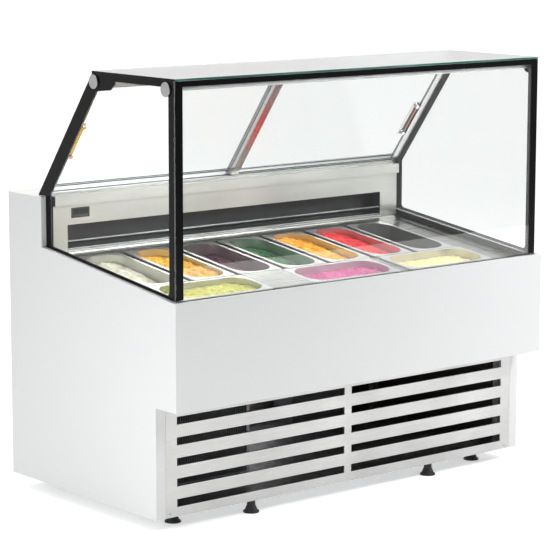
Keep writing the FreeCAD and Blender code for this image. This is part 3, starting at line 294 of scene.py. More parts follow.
# ---------------------------------------------------------------- levelling feet
# Six moulded feet on threaded stems, screwed up into the tray. The pads are black
# polyamide, a little scuffed where they have been pushed over the floor.
FOOT_BLACK = (0.012, 0.012, 0.013, 1)
FOOT_SCUFF = (0.07, 0.07, 0.068, 1)

foot_black, tree, shader = finish("foot_polyamide", Specular_IOR_Level=0.4)
scuff = use(tree, edge_wear, Radius=0.0012, Amount=1.6)["Mask"]
tree.links.new(mixed_colour(tree, scuff, FOOT_BLACK, FOOT_SCUFF), shader.inputs["Base Color"])
grit = add(tree, "ShaderNodeTexNoise", Scale=900, Detail=3, Vector=scaled_place(tree, (1, 1, 1)))
tree.links.new(remapped(tree, grit.outputs[0], 0.42, 0.6), shader.inputs["Roughness"])
bumped(tree, shader, grit.outputs[0], 0.00008)
dress(foot_black, *[name for name in frame["nodes"] if name.startswith("foot_")])


# ---------------------------------------------------------------- painted panels
# The front and both sides are steel sheet, folded and stove-enamelled in gloss white. The
# enamel has a faint orange peel and thins at the folded edges.
ENAMEL = (0.535, 0.54, 0.545, 1)
ENAMEL_EDGE = (0.50, 0.51, 0.52, 1)

enamel, tree, shader = finish("white_enamel", Coat_Weight=0.35, Coat_Roughness=0.06)
thin = use(tree, edge_wear, Radius=0.0015, Amount=1.2)["Mask"]
haze = use(tree, smudges, Size=3.0, Contrast=0.5)["Mask"]
tree.links.new(mixed_colour(tree, thin, ENAMEL, ENAMEL_EDGE), shader.inputs["Base Color"])
tree.links.new(remapped(tree, haze, 0.24, 0.29), shader.inputs["Roughness"])
peel = add(tree, "ShaderNodeTexNoise", Scale=260, Detail=2, Vector=scaled_place(tree, (1, 1, 1)))
bumped(tree, shader, peel.outputs[0], 0.00003)
dress(enamel, "front_panel", "left_side_panel", "right_side_panel")


# ---------------------------------------------------------------- foam in the panels
# Polyurethane foam fills the panels and lines the tank. It was foamed against a dark film,
# which has small dimples over the cells and shows only in the machine room.
FOAM_FILM = (0.030, 0.029, 0.026, 1)
FOAM_CELL = (0.055, 0.050, 0.040, 1)

foam, tree, shader = finish("rigid_foam", Roughness=0.9, Specular_IOR_Level=0.2)
cells = add(tree, "ShaderNodeTexVoronoi", Scale=600, Vector=scaled_place(tree, (1, 1, 1)))
tree.links.new(mixed_colour(tree, cells.outputs[0], FOAM_FILM, FOAM_CELL), shader.inputs["Base Color"])
bumped(tree, shader, cells.outputs[0], 0.0006)
dress(foam, "tank_insulation")


# ---------------------------------------------------------------- stainless sheet
# Kick grille, counter, back, inner wall, louvres, deck, tub and loose plate are cut and
# folded from brushed stainless sheet, with the grain along the cabinet. The counter and
# inner wall get a brighter copy of it as painted light, and the louvres a darker copy as
# painted shade.
STEEL = (0.51, 0.51, 0.503, 1)
STEEL_SHADE = (0.40, 0.40, 0.395, 1)
# Painted light: the counter and inner wall get a brighter copy of the stainless.
WALL_STEEL_PAINTED_LIGHT = (0.84, 0.835, 0.79, 1)
WALL_BLOTCH_PAINTED_LIGHT = (0.72, 0.715, 0.68, 1)
# Painted shade: the louvres get a darker copy of the stainless, for the dim air outlet.
LOUVRE_PAINTED_SHADE = (0.30, 0.31, 0.31, 1)
LOUVRE_BLOTCH_PAINTED_SHADE = (0.20, 0.21, 0.21, 1)
DECK_STEEL = (0.40, 0.405, 0.395, 1)
DECK_SHADE = (0.28, 0.285, 0.28, 1)
GRAIN_ALONG_X = (3, 700, 700)
GRAIN_ALONG_Z = (700, 700, 3)

brushing, inside, outside = shared_group(
    "brushing",
    [("Grain", "NodeSocketVector", GRAIN_ALONG_X), ("Blotch size", "NodeSocketFloat", 4.0)],
    [("Lines", "NodeSocketFloat"), ("Blotches", "NodeSocketFloat")],
)
lines = add(brushing, "ShaderNodeTexNoise", Scale=1.0, Detail=4, Roughness=0.7)
brushing.links.new(scaled_place(brushing, inside.outputs["Grain"]), lines.inputs["Vector"])
blotches = add(brushing, "ShaderNodeTexNoise", Scale=inside.outputs["Blotch size"], Detail=4)
brushing.links.new(scaled_place(brushing, (1, 1, 1)), blotches.inputs["Vector"])
brushing.links.new(lines.outputs[0], outside.inputs["Lines"])
brushing.links.new(blotches.outputs[0], outside.inputs["Blotches"])


def brushed_steel(name, grain, light, dark, smooth, rough, depth):
    """Brushed stainless steel whose grain runs one way."""
    made, tree, shader = finish(name, Metallic=1.0)
    marks = use(tree, brushing, Grain=grain)
    tone = mixed_colour(tree, remapped(tree, marks["Blotches"], 0, 1, 0.3, 0.7), light, dark)
    tree.links.new(tone, shader.inputs["Base Color"])
    tree.links.new(remapped(tree, marks["Lines"], smooth, rough, 0.3, 0.7), shader.inputs["Roughness"])
    bumped(tree, shader, marks["Lines"], depth)
    return made


grille_steel = brushed_steel("grille_steel", GRAIN_ALONG_X, STEEL, STEEL_SHADE, 0.24, 0.38, 0.00003)
dress(grille_steel, "kick_grille", "rear_panel")
# Painted light: a brighter stainless for the counter and inner wall.
wall_steel_painted_light = brushed_steel("wall_steel_painted_light", GRAIN_ALONG_X, WALL_STEEL_PAINTED_LIGHT, WALL_BLOTCH_PAINTED_LIGHT, 0.28, 0.42, 0.00004)
dress(wall_steel_painted_light, "rear_counter", "duct_fascia")

# Painted shade: the back of the air duct, behind the fascia, is painted near-black and matt, lighter in
# patches, so that it stays out of sight.
DUCT_PAINTED_SHADE = (0.02, 0.021, 0.021, 1)
DUCT_PAINTED_SHADE_PATCH = (0.05, 0.05, 0.048, 1)
liner_steel = brushed_steel("liner_steel", GRAIN_ALONG_X, DECK_STEEL, DECK_SHADE, 0.28, 0.42, 0.00004)
tree = liner_steel.node_tree
shader = tree.nodes["Principled BSDF"]
depth_in = add(tree, "ShaderNodeSeparateXYZ", Vector=scaled_place(tree, (1, 1, 1)))
# Mask of the painted shade: everything behind the fascia.
behind_fascia_shade_mask = add(tree, "ShaderNodeMath", {"operation": "GREATER_THAN"})
tree.links.new(depth_in.outputs["Y"], behind_fascia_shade_mask.inputs[0])
behind_fascia_shade_mask.inputs[1].default_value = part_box("duct_fascia")[1].y
bare = shader.inputs["Base Color"].links[0].from_socket
shade_patches = use(tree, smudges, Size=20.0, Contrast=0.7)["Mask"]
# Near-black painted shade, a little lighter in patches.
duct_painted_shade = mixed_colour(tree, shade_patches, DUCT_PAINTED_SHADE, DUCT_PAINTED_SHADE_PATCH)
tree.links.new(mixed_colour(tree, behind_fascia_shade_mask.outputs[0], bare, duct_painted_shade), shader.inputs["Base Color"])
tree.links.new(remapped(tree, behind_fascia_shade_mask.outputs[0], 1.0, 0.0), shader.inputs["Metallic"])
dress(liner_steel, "tank_liner")
deck_steel = brushed_steel("deck_steel", GRAIN_ALONG_X, DECK_STEEL, DECK_SHADE, 0.2, 0.34, 0.00003)
dress(deck_steel, "deck_frame", "pan_dividers", "filler_plate")
# Painted shade: the louvres are painted darker than the other stainless.
louvre_steel_painted_shade = brushed_steel("louvre_steel_painted_shade", GRAIN_ALONG_X, LOUVRE_PAINTED_SHADE, LOUVRE_BLOTCH_PAINTED_SHADE, 0.2, 0.36, 0.00005)
dress(louvre_steel_painted_shade, "discharge_louvres")
screw_steel = brushed_steel("screw_steel", GRAIN_ALONG_Z, STEEL, STEEL_SHADE, 0.22, 0.35, 0.00002)
dress(screw_steel, "panel_screws")


# ---------------------------------------------------------------- ice cream pans
# Ten pressed stainless pans stand in the sloping deck, each with a rolled rim and a
# round-ended bowl. They are ground inside, so the grain follows the depth of the bowl.
PAN_STEEL = (0.60, 0.60, 0.59, 1)
PAN_SHADE = (0.46, 0.46, 0.45, 1)
PANS = [name for name in frame["nodes"] if "_pan_" in name]

pan_steel = brushed_steel("pan_steel", GRAIN_ALONG_Z, PAN_STEEL, PAN_SHADE, 0.26, 0.4, 0.00001)
dress(pan_steel, *PANS)


# ---------------------------------------------------------------- ice cream
# Each pan holds one flavour, churned, filled while soft and worked with a scoop: long
# gouges with torn ridges between them, higher where it has been pushed up the walls.
MM = 0.001
PAN_RIM = 4 * MM
PAN_FLANGE = 12 * MM
PAN_FLOOR = -113.5 * MM
BOWL_CORNER = 57 * MM
BOWL_FOOT = 20 * MM
WALL_GAP = 0.9 * MM
ROWS = 118
COLUMNS = 48
FLAVOURS = {
    # pan: (flavour, main colour, deep colour, ripple colour,
    #       level, slope and heap in mm, ridges in mm, number of gouges)
    "back_pan_1": (
        "vanilla", (0.86, 0.84, 0.72), (0.70, 0.66, 0.50), (0.95, 0.94, 0.88),
        -30, 16, 34, 11, 3,
    ),
    "back_pan_2": (
        "mango", (0.96, 0.56, 0.06), (0.72, 0.30, 0.01), (1.0, 0.78, 0.26),
        -12, -5, 12, 12, 2,
    ),
    "back_pan_3": (
        "blackcurrant", (0.13, 0.03, 0.06), (0.04, 0.008, 0.02), (0.34, 0.12, 0.20),
        -31, 6, 20, 12, 3,
    ),
    "back_pan_4": (
        "mint", (0.035, 0.19, 0.06), (0.012, 0.07, 0.02), (0.10, 0.33, 0.12),
        -29, 4, 14, 9, 3,
    ),
    "back_pan_5": (
        "apricot", (1.0, 0.50, 0.03), (0.74, 0.26, 0.005), (1.0, 0.72, 0.20),
        -19, 8, 12, 9, 2,
    ),
    "back_pan_6": (
        "strawberry", (0.85, 0.02, 0.025), (0.50, 0.006, 0.012), (0.98, 0.20, 0.16),
        -19, 6, 12, 9, 2,
    ),
    "back_pan_7": (
        "liquorice", (0.035, 0.033, 0.032), (0.012, 0.011, 0.011), (0.09, 0.087, 0.085),
        -58, 4, 16, 9, 3,
    ),
    "front_pan_left": (
        "pistachio", (0.62, 0.60, 0.09), (0.42, 0.40, 0.04), (0.78, 0.76, 0.30),
        -16, 3, 8, 8, 2,
    ),
    "front_pan_middle": (
        "raspberry", (0.52, 0.06, 0.24), (0.30, 0.02, 0.11), (0.72, 0.25, 0.44),
        -19, 3, 8, 7, 2,
    ),
    "front_pan_right": (
        "custard", (0.76, 0.66, 0.33), (0.54, 0.44, 0.17), (0.88, 0.82, 0.56),
        -22, 3, 8, 8, 2,
    ),
}

lift_axis = next(j["axis"] for j in frame["joints"] if j["name"] == "back_pan_1_lift")
DECK_NORMAL = Vector(lift_axis).normalized()
ACROSS = Vector((1, 0, 0))
UP_SLOPE = DECK_NORMAL.cross(ACROSS)


def local_box(node, *axes):
    """Lowest and highest place of a CAD node along each of some directions."""
    points = [v.co for v in frame["nodes"][node].data.vertices]
    reach = [[point.dot(axis) for point in points] for axis in axes]
    return [min(r) for r in reach], [max(r) for r in reach]


def bowl_width(along, half_long, half_wide, corner):
    """Half width of a round-cornered bowl at a place along it."""
    into_corner = max(abs(along) - (half_long - corner), 0)
    return half_wide - corner + math.sqrt(max(corner**2 - into_corner**2, 0))


def scooped_height(along, aside, half_long, half_wide, flavour, seed):
    """Height of the worked surface above the deck, in millimetres."""
    _, _, _, _, level, slope, heap, ridges, gouges = flavour
    u, v = along / half_long, aside / half_wide
    shift = Vector((seed * 7.3, seed * 3.1, seed * 1.7))
    place = Vector((along / (42 * MM), aside / (30 * MM), 0)) + shift
    lean = noise.noise(place * 0.6)
    height = level + slope * u + heap * (math.cos(1.5 * (u - 0.25 * lean)) * math.cos(1.3 * v) - 0.45)
    for i in range(gouges):
        line = -0.62 + 1.24 * (i + 0.5) / gouges + 0.16 * noise.noise(shift + Vector((i, 0, u * 1.3)))
        start = 0.25 * noise.noise(shift + Vector((0, i, 5)))
        reach = max(0.0, 1 - (abs(u - start) / 0.85) ** 4)
        height -= (0.75 * ridges + 3) * reach * math.exp(-(((v - line) / 0.22) ** 2))
    torn = noise.ridged_multi_fractal(place * 1.1, 0.9, 2.1, 5, 1.0, 2.0)
    height += ridges * 0.42 * (torn - 1.1)
    height += 2.2 * noise.fractal(place * 4.5, 0.7, 2.1, 4)
    climb = max(abs(u), abs(v)) ** 6
    height += 5 * climb * (0.6 + noise.noise(place * 1.5))
    return min(max(height, -100), 2)


def ice_cream(pan, flavour, seed):
    """Solid of ice cream that fills the bowl of a pan up to its worked surface."""
    low, high = local_box(pan, ACROSS, UP_SLOPE, DECK_NORMAL)
    deck = high[2] - PAN_RIM
    centre = [(a + b) / 2 for a, b in zip(low, high)]
    spans = [(b - a) / 2 - PAN_FLANGE - WALL_GAP for a, b in zip(low[:2], high[:2])]
    lengthwise = spans[1] > spans[0]
    half_long, half_wide = (spans[1], spans[0]) if lengthwise else spans
    corner = BOWL_CORNER - WALL_GAP

    def spot(along, aside, height):
        across, up = (aside, along) if lengthwise else (along, aside)
        return (
            ACROSS * (centre[0] + across) + UP_SLOPE * (centre[1] + up) + DECK_NORMAL * (deck + height)
        )

    def grid_place(row, column, inset):
        along = (half_long - inset) * math.sin(math.pi * (row / ROWS - 0.5))
        width = bowl_width(along, half_long - inset, half_wide - inset, corner - inset)
        return along, width * (2 * column / COLUMNS - 1)

    mesh = bmesh.new()
    layers = []
    for top in (True, False):
        inset = 0 if top else BOWL_FOOT * 0.9
        layer = []
        for row in range(ROWS + 1):
            line = []
            for column in range(COLUMNS + 1):
                along, aside = grid_place(row, column, inset)
                height = PAN_FLOOR
                if top:
                    height = MM * scooped_height(along, aside, half_long, half_wide, flavour, seed)
                line.append(mesh.verts.new(spot(along, aside, height)))
            layer.append(line)
        layers.append(layer)
        for row in range(ROWS):
            for column in range(COLUMNS):
                quad = [
                    layer[row][column],
                    layer[row][column + 1],
                    layer[row + 1][column + 1],
                    layer[row + 1][column],
                ]
                mesh.faces.new(quad if top else quad[::-1])

    rim = [(0, c) for c in range(COLUMNS)] + [(r, COLUMNS) for r in range(ROWS)]
    rim += [(ROWS, c) for c in range(COLUMNS, 0, -1)] + [(r, 0) for r in range(ROWS, 0, -1)]
    rings = [[layers[0][r][c] for r, c in rim]]
    for degrees in (0, 30, 60):
        inset = BOWL_FOOT * (1 - math.cos(math.radians(degrees))) * 0.9
        height = PAN_FLOOR + BOWL_FOOT * (1 - math.sin(math.radians(degrees)))
        rings.append([mesh.verts.new(spot(*grid_place(r, c, inset), height)) for r, c in rim])
    rings.append([layers[1][r][c] for r, c in rim])
    for upper, lower in zip(rings, rings[1:]):
        for i in range(len(rim)):
            j = (i + 1) % len(rim)
            mesh.faces.new((upper[i], lower[i], lower[j], upper[j]))
    bmesh.ops.recalc_face_normals(mesh, faces=mesh.faces)
    made = bpy.data.meshes.new(f"{flavour[0]}_ice_cream")
    mesh.to_mesh(made)
    mesh.free()
    made.polygons.foreach_set("use_smooth", [True] * len(made.polygons))
    return made


def ice_cream_finish(flavour):
    """Churned ice cream: rippled colour, fine ice crystals and small air holes."""
    name, main, deep, ripple = flavour[:4]
    made, tree, shader = finish(f"{name}_finish", Subsurface_Weight=0.12, Subsurface_Scale=0.004)
    shader.inputs["Subsurface Radius"].default_value = (1.0, 0.6, 0.4)
    shader.inputs["Specular IOR Level"].default_value = 0.35
    swirl = add(tree, "ShaderNodeTexNoise", Scale=22, Detail=6, Roughness=0.65, Distortion=1.6)
    tree.links.new(scaled_place(tree, (1, 1, 1)), swirl.inputs["Vector"])
    body = mixed_colour(tree, remapped(tree, swirl.outputs[0], 0, 1, 0.38, 0.62), (*deep, 1), (*main, 1))
    streak = remapped(tree, swirl.outputs[0], 0, 0.85, 0.58, 0.72)
    tree.links.new(mixed_colour(tree, streak, body, (*ripple, 1)), shader.inputs["Base Color"])
    crystals = add(tree, "ShaderNodeTexNoise", Scale=260, Detail=5, Roughness=0.75)
    tree.links.new(scaled_place(tree, (1, 1, 1)), crystals.inputs["Vector"])
    tree.links.new(remapped(tree, crystals.outputs[0], 0.38, 0.62), shader.inputs["Roughness"])
    bumped(tree, shader, crystals.outputs[0], 0.003)
    return made


for seed, (pan, flavour) in enumerate(FLAVOURS.items()):
    filling = new_piece(f"{flavour[0]}_ice_cream", ice_cream(pan, flavour, seed), ice_cream_finish(flavour))
    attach(filling, pan)


# ---------------------------------------------------------------- glass canopy
# Toughened float glass, 6 mm thick: one front pane, two side panes and a top, glued edge
# to edge. Its colour is a faint green, which gathers in the polished edges. The top pane
# is tinted grey as painted shade, to darken it.
GLASS_TINT = (0.985, 0.996, 0.992, 1)
GLASS_TINT_THICK = (0.97, 0.99, 0.984, 1)
# Painted shade: the top pane's grey tint darkens it.
TOP_TINT_PAINTED_SHADE = (0.70, 0.715, 0.715, 1)
TOP_TINT_THICK_PAINTED_SHADE = (0.64, 0.66, 0.66, 1)
EDGE_GREEN = (0.012, 0.07, 0.052, 1)
EDGE_LIGHT = (0.07, 0.19, 0.155, 1)
SKIN = 0.2 * MM


def clear_glass(name, bending, coat, thin, thick):
    """Clear pane that mirrors and bends light but lets lamps shine through."""
    made, tree, shader = finish(name, Roughness=0.0, Transmission_Weight=1.0, Coat_Roughness=0.0)
    shader.inputs["IOR"].default_value = bending
    shader.inputs["Coat Weight"].default_value = coat
    roller = add(tree, "ShaderNodeTexNoise", Scale=2.2, Detail=1, Vector=scaled_place(tree, (1, 1, 1)))
    tint = mixed_colour(tree, roller.outputs[0], thin, thick)
    tree.links.new(tint, shader.inputs["Base Color"])
    bumped(tree, shader, roller.outputs[0], 0.00002)
    through = add(tree, "ShaderNodeBsdfTransparent", Color=GLASS_TINT)
    lamp_ray = add(tree, "ShaderNodeLightPath").outputs["Is Shadow Ray"]
    either = add(tree, "ShaderNodeMixShader", Fac=lamp_ray)
    tree.links.new(shader.outputs[0], either.inputs[1])
    tree.links.new(through.outputs[0], either.inputs[2])
    tree.links.new(either.outputs[0], tree.nodes["Material Output"].inputs["Surface"])
    return made


front_clear = clear_glass("front_clear_glass", 1.5, 0.9, GLASS_TINT, GLASS_TINT_THICK)
dress(front_clear, "front_glass")
canopy_clear = clear_glass("canopy_clear_glass", 1.16, 0.0, GLASS_TINT, GLASS_TINT_THICK)
dress(canopy_clear, "side_glass_left", "side_glass_right")
# Painted shade: the top pane gets the grey tint.
top_shaded_glass = clear_glass("top_glass_painted_shade", 1.5, 0.0, TOP_TINT_PAINTED_SHADE, TOP_TINT_THICK_PAINTED_SHADE)
dress(top_shaded_glass, "top_glass")

polished_edge, tree, shader = finish("polished_glass_edge", Coat_Weight=0.6, Coat_Roughness=0.04)
depth_of_green = add(tree, "ShaderNodeTexNoise", Scale=1.0, Detail=3)
tree.links.new(scaled_place(tree, (9, 9, 260)), depth_of_green.inputs["Vector"])
green = mixed_colour(tree, remapped(tree, depth_of_green.outputs[0], 0, 1, 0.35, 0.7), EDGE_GREEN, EDGE_LIGHT)
tree.links.new(green, shader.inputs["Base Color"])
tree.links.new(remapped(tree, depth_of_green.outputs[0], 0.12, 0.3), shader.inputs["Roughness"])


def rounded_outline(corners):
    """Outline of (across, up, radius) corners, each turned by an arc of its radius."""
    points = []
    for i, (x, y, radius) in enumerate(corners):
        corner = Vector((x, y))
        before = (Vector(corners[i - 1][:2]) - corner).normalized()
        after = (Vector(corners[(i + 1) % len(corners)][:2]) - corner).normalized()
        if radius == 0:
            points.append(corner)
            continue
        half = before.angle(after) / 2
        middle = corner + (before + after).normalized() * (radius / math.sin(half))
        first = corner + before * (radius / math.tan(half)) - middle
        last = corner + after * (radius / math.tan(half)) - middle
        for step in range(7):
            points.append(middle + first.normalized().slerp(last.normalized(), step / 6) * radius)
    return points


def flat_plate(name, outlines, thick, place):
    """Thin plate from an outer outline and its windows, put in place by a matrix."""
    curve = bpy.data.curves.new(name, "CURVE")
    curve.dimensions = "2D"
    curve.fill_mode = "BOTH"
    curve.extrude = thick / 2
    for outline in outlines:
        spline = curve.splines.new("POLY")
        spline.points.add(len(outline) - 1)
        spline.use_cyclic_u = True
        for point, (x, y) in zip(spline.points, outline):
            point.co = (x, y, 0, 1)
    holder = bpy.data.objects.new(name, curve)
    mesh = bpy.data.meshes.new_from_object(holder)
    bpy.data.objects.remove(holder)
    mesh.materials.clear()
    mesh.transform(place)
    return mesh


def facing(across, up, at):
    """Matrix that lays a flat outline along two directions, through a point."""
    made = Matrix((across, up, Vector(across).cross(Vector(up)))).transposed().to_4x4()
    made.translation = at
    return made


def rectangle(x0, x1, y0, y1, radius=0):
    return rounded_outline([(x0, y0, radius), (x1, y0, radius), (x1, y1, radius), (x0, y1, radius)])


FACING_CUSTOMER = ((1, 0, 0), (0, 0, 1))
FACING_SIDE = ((0, 1, 0), (0, 0, 1))
FACING_UP = ((1, 0, 0), (0, 1, 0))
front_low, front_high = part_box("front_glass")
top_low, top_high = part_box("top_glass")

edge_shapes = {
    "top_glass_front_edge": (
        rectangle(top_low.x, top_high.x, top_low.z + SKIN, top_high.z - SKIN),
        FACING_CUSTOMER,
        (0, top_low.y - SKIN, 0),
    ),
    "top_glass_back_edge": (
        rectangle(top_low.x, top_high.x, top_low.z + SKIN, top_high.z - SKIN),
        FACING_CUSTOMER,
        (0, top_high.y + SKIN, 0),
    ),
}
for name, (outline, directions, at) in edge_shapes.items():
    strip = new_piece(name, flat_plate(name, [outline], SKIN, facing(*directions, at)), polished_edge)
    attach(strip, "cabinet")


# ---------------------------------------------------------------- printed borders
# Black ceramic ink is fired onto the edges of every pane, which hides the glue and the
# ends of the rails. Outside it is a deep gloss black, and inside a duller dark grey.
PRINT_BLACK = (0.004, 0.004, 0.0045, 1)
PRINT_GREY = (0.13, 0.132, 0.135, 1)
TOP_BAND = 19.5 * MM
POST_BAND = 29 * MM
SLANT_BAND = 48 * MM
REAR_BAND = 26 * MM
SLOPE_BAND = 8 * MM
FRONT_TOP_BAND = 17 * MM
FRONT_SIDE_BAND = 27 * MM
TOP_END_BAND = 12 * MM
BRACKET_FOOT = (72 * MM, 54 * MM)
BRACKET_NOSE = (91 * MM, 46.5 * MM)
BRACKET_CHAMFER = (114 * MM, 26.5 * MM)
WINDOW_CORNER = 13 * MM
GLASS_SEAT = 14.5 * MM


def ceramic_print(name, colour, speck, roughness):
    """Fired ink: even, with pinholes and a slight waviness of gloss."""
    made, tree, shader = finish(name, Specular_IOR_Level=0.1)
    pinholes = add(tree, "ShaderNodeTexNoise", Scale=1500, Detail=2, Vector=scaled_place(tree, (1, 1, 1)))
    tone = mixed_colour(tree, remapped(tree, pinholes.outputs[0], 0, 1, 0.6, 0.8), colour, speck)
    tree.links.new(tone, shader.inputs["Base Color"])
    haze = use(tree, smudges, Size=5.0, Contrast=0.6)["Mask"]
    tree.links.new(remapped(tree, haze, roughness, roughness + 0.15), shader.inputs["Roughness"])
    return made


print_black = ceramic_print("print_black", PRINT_BLACK, (0.02, 0.02, 0.021, 1), 0.12)
print_grey = ceramic_print("print_grey", PRINT_GREY, (0.2, 0.2, 0.2, 1), 0.25)


def side_pane_corners(node):
    """Corners of a side pane, as (Y, Z) from the lower front round by the top."""
    points = [(v.co.y, v.co.z) for v in frame["nodes"][node].data.vertices]
    top = max(z for _, z in points)
    front = min(y for y, _ in points)
    foot = max(y for y, _ in points)
    foot_z = min(z for y, z in points if y > foot - MM / 10)
    back = max(y for y, z in points if z < foot_z - MM)
    return {
        "low_front": (front, min(z for y, z in points if y < front + MM / 10)),
        "top_front": (front, top),
        "slant_top": (max(y for y, z in points if z > top - MM / 10), top),
        "slant_foot": (foot, foot_z),
        "rear_top": (back, foot_z),
        "rear_low": (back, min(z for y, z in points if abs(y - back) < MM / 10)),
    }


panel_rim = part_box("front_panel")[1].z
deck_slope = UP_SLOPE.z / UP_SLOPE.y
for side in ("left", "right"):
    node = f"side_glass_{side}"
    corner = side_pane_corners(node)
    outer = [*corner.values()]
    slant = (Vector(corner["slant_foot"]) - Vector(corner["slant_top"])).normalized()
    inward = Vector((slant.y, -slant.x))
    band_top = Vector(corner["slant_top"]) + inward * SLANT_BAND
    window_front = corner["low_front"][0] + POST_BAND
    window_back = corner["rear_top"][0] - REAR_BAND
    window_top = corner["top_front"][1] - TOP_BAND
    bend = band_top + slant * ((window_back - band_top.x) / slant.x)
    top_y, top_z = corner["slant_top"]
    bracket = band_top + slant * ((top_z - BRACKET_FOOT[1] - band_top.y) / slant.y)
    front_foot = corner["low_front"][1] + GLASS_SEAT + SLOPE_BAND + POST_BAND * deck_slope
    rear_foot = corner["rear_low"][1] + GLASS_SEAT + SLOPE_BAND - REAR_BAND * deck_slope
    window = rounded_outline([
        (window_front, front_foot, WINDOW_CORNER),
        (window_front, window_top, 0),
        (top_y - BRACKET_CHAMFER[0], window_top, 0),
        (top_y - BRACKET_CHAMFER[0], top_z - BRACKET_CHAMFER[1], 0),
        (top_y - BRACKET_NOSE[0], top_z - BRACKET_NOSE[1], 0),
        (bracket.x, bracket.y, 0),
        (bend.x, bend.y, 0),
        (window_back, rear_foot, WINDOW_CORNER),
    ])
    glass_low, glass_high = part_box(node)
    faces = (glass_low.x - SKIN, glass_high.x + SKIN)
    for x, made in zip(faces, (print_black, print_grey) if side == "left" else (print_grey, print_black)):
        name = f"side_border_{side}_{'outside' if made is print_black else 'inside'}"
        plate = flat_plate(name, [outer, window], SKIN, facing(*FACING_SIDE, (x, 0, 0)))
        border = new_piece(name, plate, made)
        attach(border, "cabinet")

window = rectangle(
    front_low.x + FRONT_SIDE_BAND,
    front_high.x - FRONT_SIDE_BAND,
    panel_rim + SKIN,
    front_high.z - FRONT_TOP_BAND,
)
outer = rectangle(front_low.x, front_high.x, panel_rim, front_high.z)
for name, y, made in (
    ("front_border_outside", front_low.y - SKIN, print_black),
    ("front_border_inside", front_high.y + SKIN, print_grey),
):
    plate = flat_plate(name, [outer, window], SKIN, facing(*FACING_CUSTOMER, (0, y, 0)))
    border = new_piece(name, plate, made)
    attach(border, "cabinet")

for side, x0, x1 in (
    ("left", top_low.x, top_low.x + TOP_END_BAND),
    ("right", top_high.x - TOP_END_BAND, top_high.x),
):
    name = f"top_border_{side}"
    band = rectangle(x0, x1, top_low.y, top_high.y)
    at = (0, 0, top_low.z - SKIN)
    border = new_piece(name, flat_plate(name, [band], SKIN, facing(*FACING_UP, at)), print_black)
    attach(border, "cabinet")
    name = f"top_glass_{side}_edge"
    end = rectangle(top_low.y, top_high.y, top_low.z + SKIN, top_high.z - SKIN)
    at = (x0 - SKIN if side == "left" else x1 + SKIN, 0, 0)
    border = new_piece(name, flat_plate(name, [end], SKIN, facing(*FACING_SIDE, at)), print_black)
    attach(border, "cabinet")


# ---------------------------------------------------------------- seals
# Extruded black rubber, pressed in under the front glass and along the side panels, with
# washers of the same rubber under the glass clamps.
RUBBER = (0.010, 0.010, 0.011, 1)
RUBBER_BLOOM = (0.035, 0.035, 0.036, 1)

rubber, tree, shader = finish("black_rubber", Specular_IOR_Level=0.35)
bloom = use(tree, smudges, Size=30.0, Contrast=0.7)["Mask"]
tree.links.new(mixed_colour(tree, bloom, RUBBER, RUBBER_BLOOM), shader.inputs["Base Color"])
tree.links.new(remapped(tree, bloom, 0.45, 0.65), shader.inputs["Roughness"])
grain = add(tree, "ShaderNodeTexNoise", Scale=1200, Detail=2, Vector=scaled_place(tree, (1, 1, 1)))
bumped(tree, shader, grain.outputs[0], 0.00005)
dress(rubber, "glass_seals")


# ---------------------------------------------------------------- glass clamps and handles
# Turned steel caps screwed through the side glass, and pull bars bolted through the
# doors. All are satin chromed, with faint turning rings on the caps.
CHROME = (0.44, 0.44, 0.44, 1)
CHROME_SHADE = (0.35, 0.35, 0.355, 1)
BRIGHT_CHROME = (0.78, 0.78, 0.78, 1)
BRIGHT_SHADE = (0.62, 0.62, 0.625, 1)

satin_chrome, tree, shader = finish("satin_chrome", Metallic=1.0)
wipe = use(tree, smudges, Size=40.0, Contrast=0.8)["Mask"]
tree.links.new(mixed_colour(tree, wipe, CHROME, CHROME_SHADE), shader.inputs["Base Color"])
tree.links.new(remapped(tree, wipe, 0.3, 0.42), shader.inputs["Roughness"])
turning = add(tree, "ShaderNodeTexNoise", Scale=1400, Detail=2, Vector=scaled_place(tree, (1, 1, 1)))
bumped(tree, shader, turning.outputs[0], 0.000015)
dress(satin_chrome, "glass_clamps")

bright_chrome, tree, shader = finish("bright_chrome", Metallic=1.0)
wipe = use(tree, smudges, Size=25.0, Contrast=0.8)["Mask"]
tree.links.new(mixed_colour(tree, wipe, BRIGHT_CHROME, BRIGHT_SHADE), shader.inputs["Base Color"])
tree.links.new(remapped(tree, wipe, 0.08, 0.2), shader.inputs["Roughness"])
dress(bright_chrome, "left_door_handle", "right_door_handle")


# ---------------------------------------------------------------- rail, tracks and stiles
# Extruded aluminium, etched and anodised: the rail under the top glass, the two door
# tracks and the channels on the doors. Die lines run along each length.
ALUMINIUM = (0.60, 0.605, 0.61, 1)
ALUMINIUM_WORN = (0.78, 0.78, 0.78, 1)
DIE_LINES = {"Grain": (3, 900, 900), "Blotch_size": 5.0}
STILE_LINES = {"Grain": (900, 6, 6), "Blotch_size": 5.0}


def anodised(name, lines, smooth, rough):
    """Anodised extrusion with die lines one way and brighter worn edges."""
    made, tree, shader = finish(name, Metallic=1.0)
    marks = use(tree, brushing, **lines)
    worn = use(tree, edge_wear, Radius=0.0008, Amount=1.5)["Mask"]
    tree.links.new(mixed_colour(tree, worn, ALUMINIUM, ALUMINIUM_WORN), shader.inputs["Base Color"])
    tree.links.new(remapped(tree, marks["Lines"], smooth, rough, 0.3, 0.7), shader.inputs["Roughness"])
    bumped(tree, shader, marks["Lines"], 0.00002)
    return made


rail_aluminium = anodised("rail_aluminium", DIE_LINES, 0.28, 0.4)
dress(rail_aluminium, "front_top_rail", "lower_door_track", "upper_door_track")
stile_aluminium = anodised("stile_aluminium", STILE_LINES, 0.2, 0.32)
dress(stile_aluminium, "left_door_stiles", "right_door_stiles")


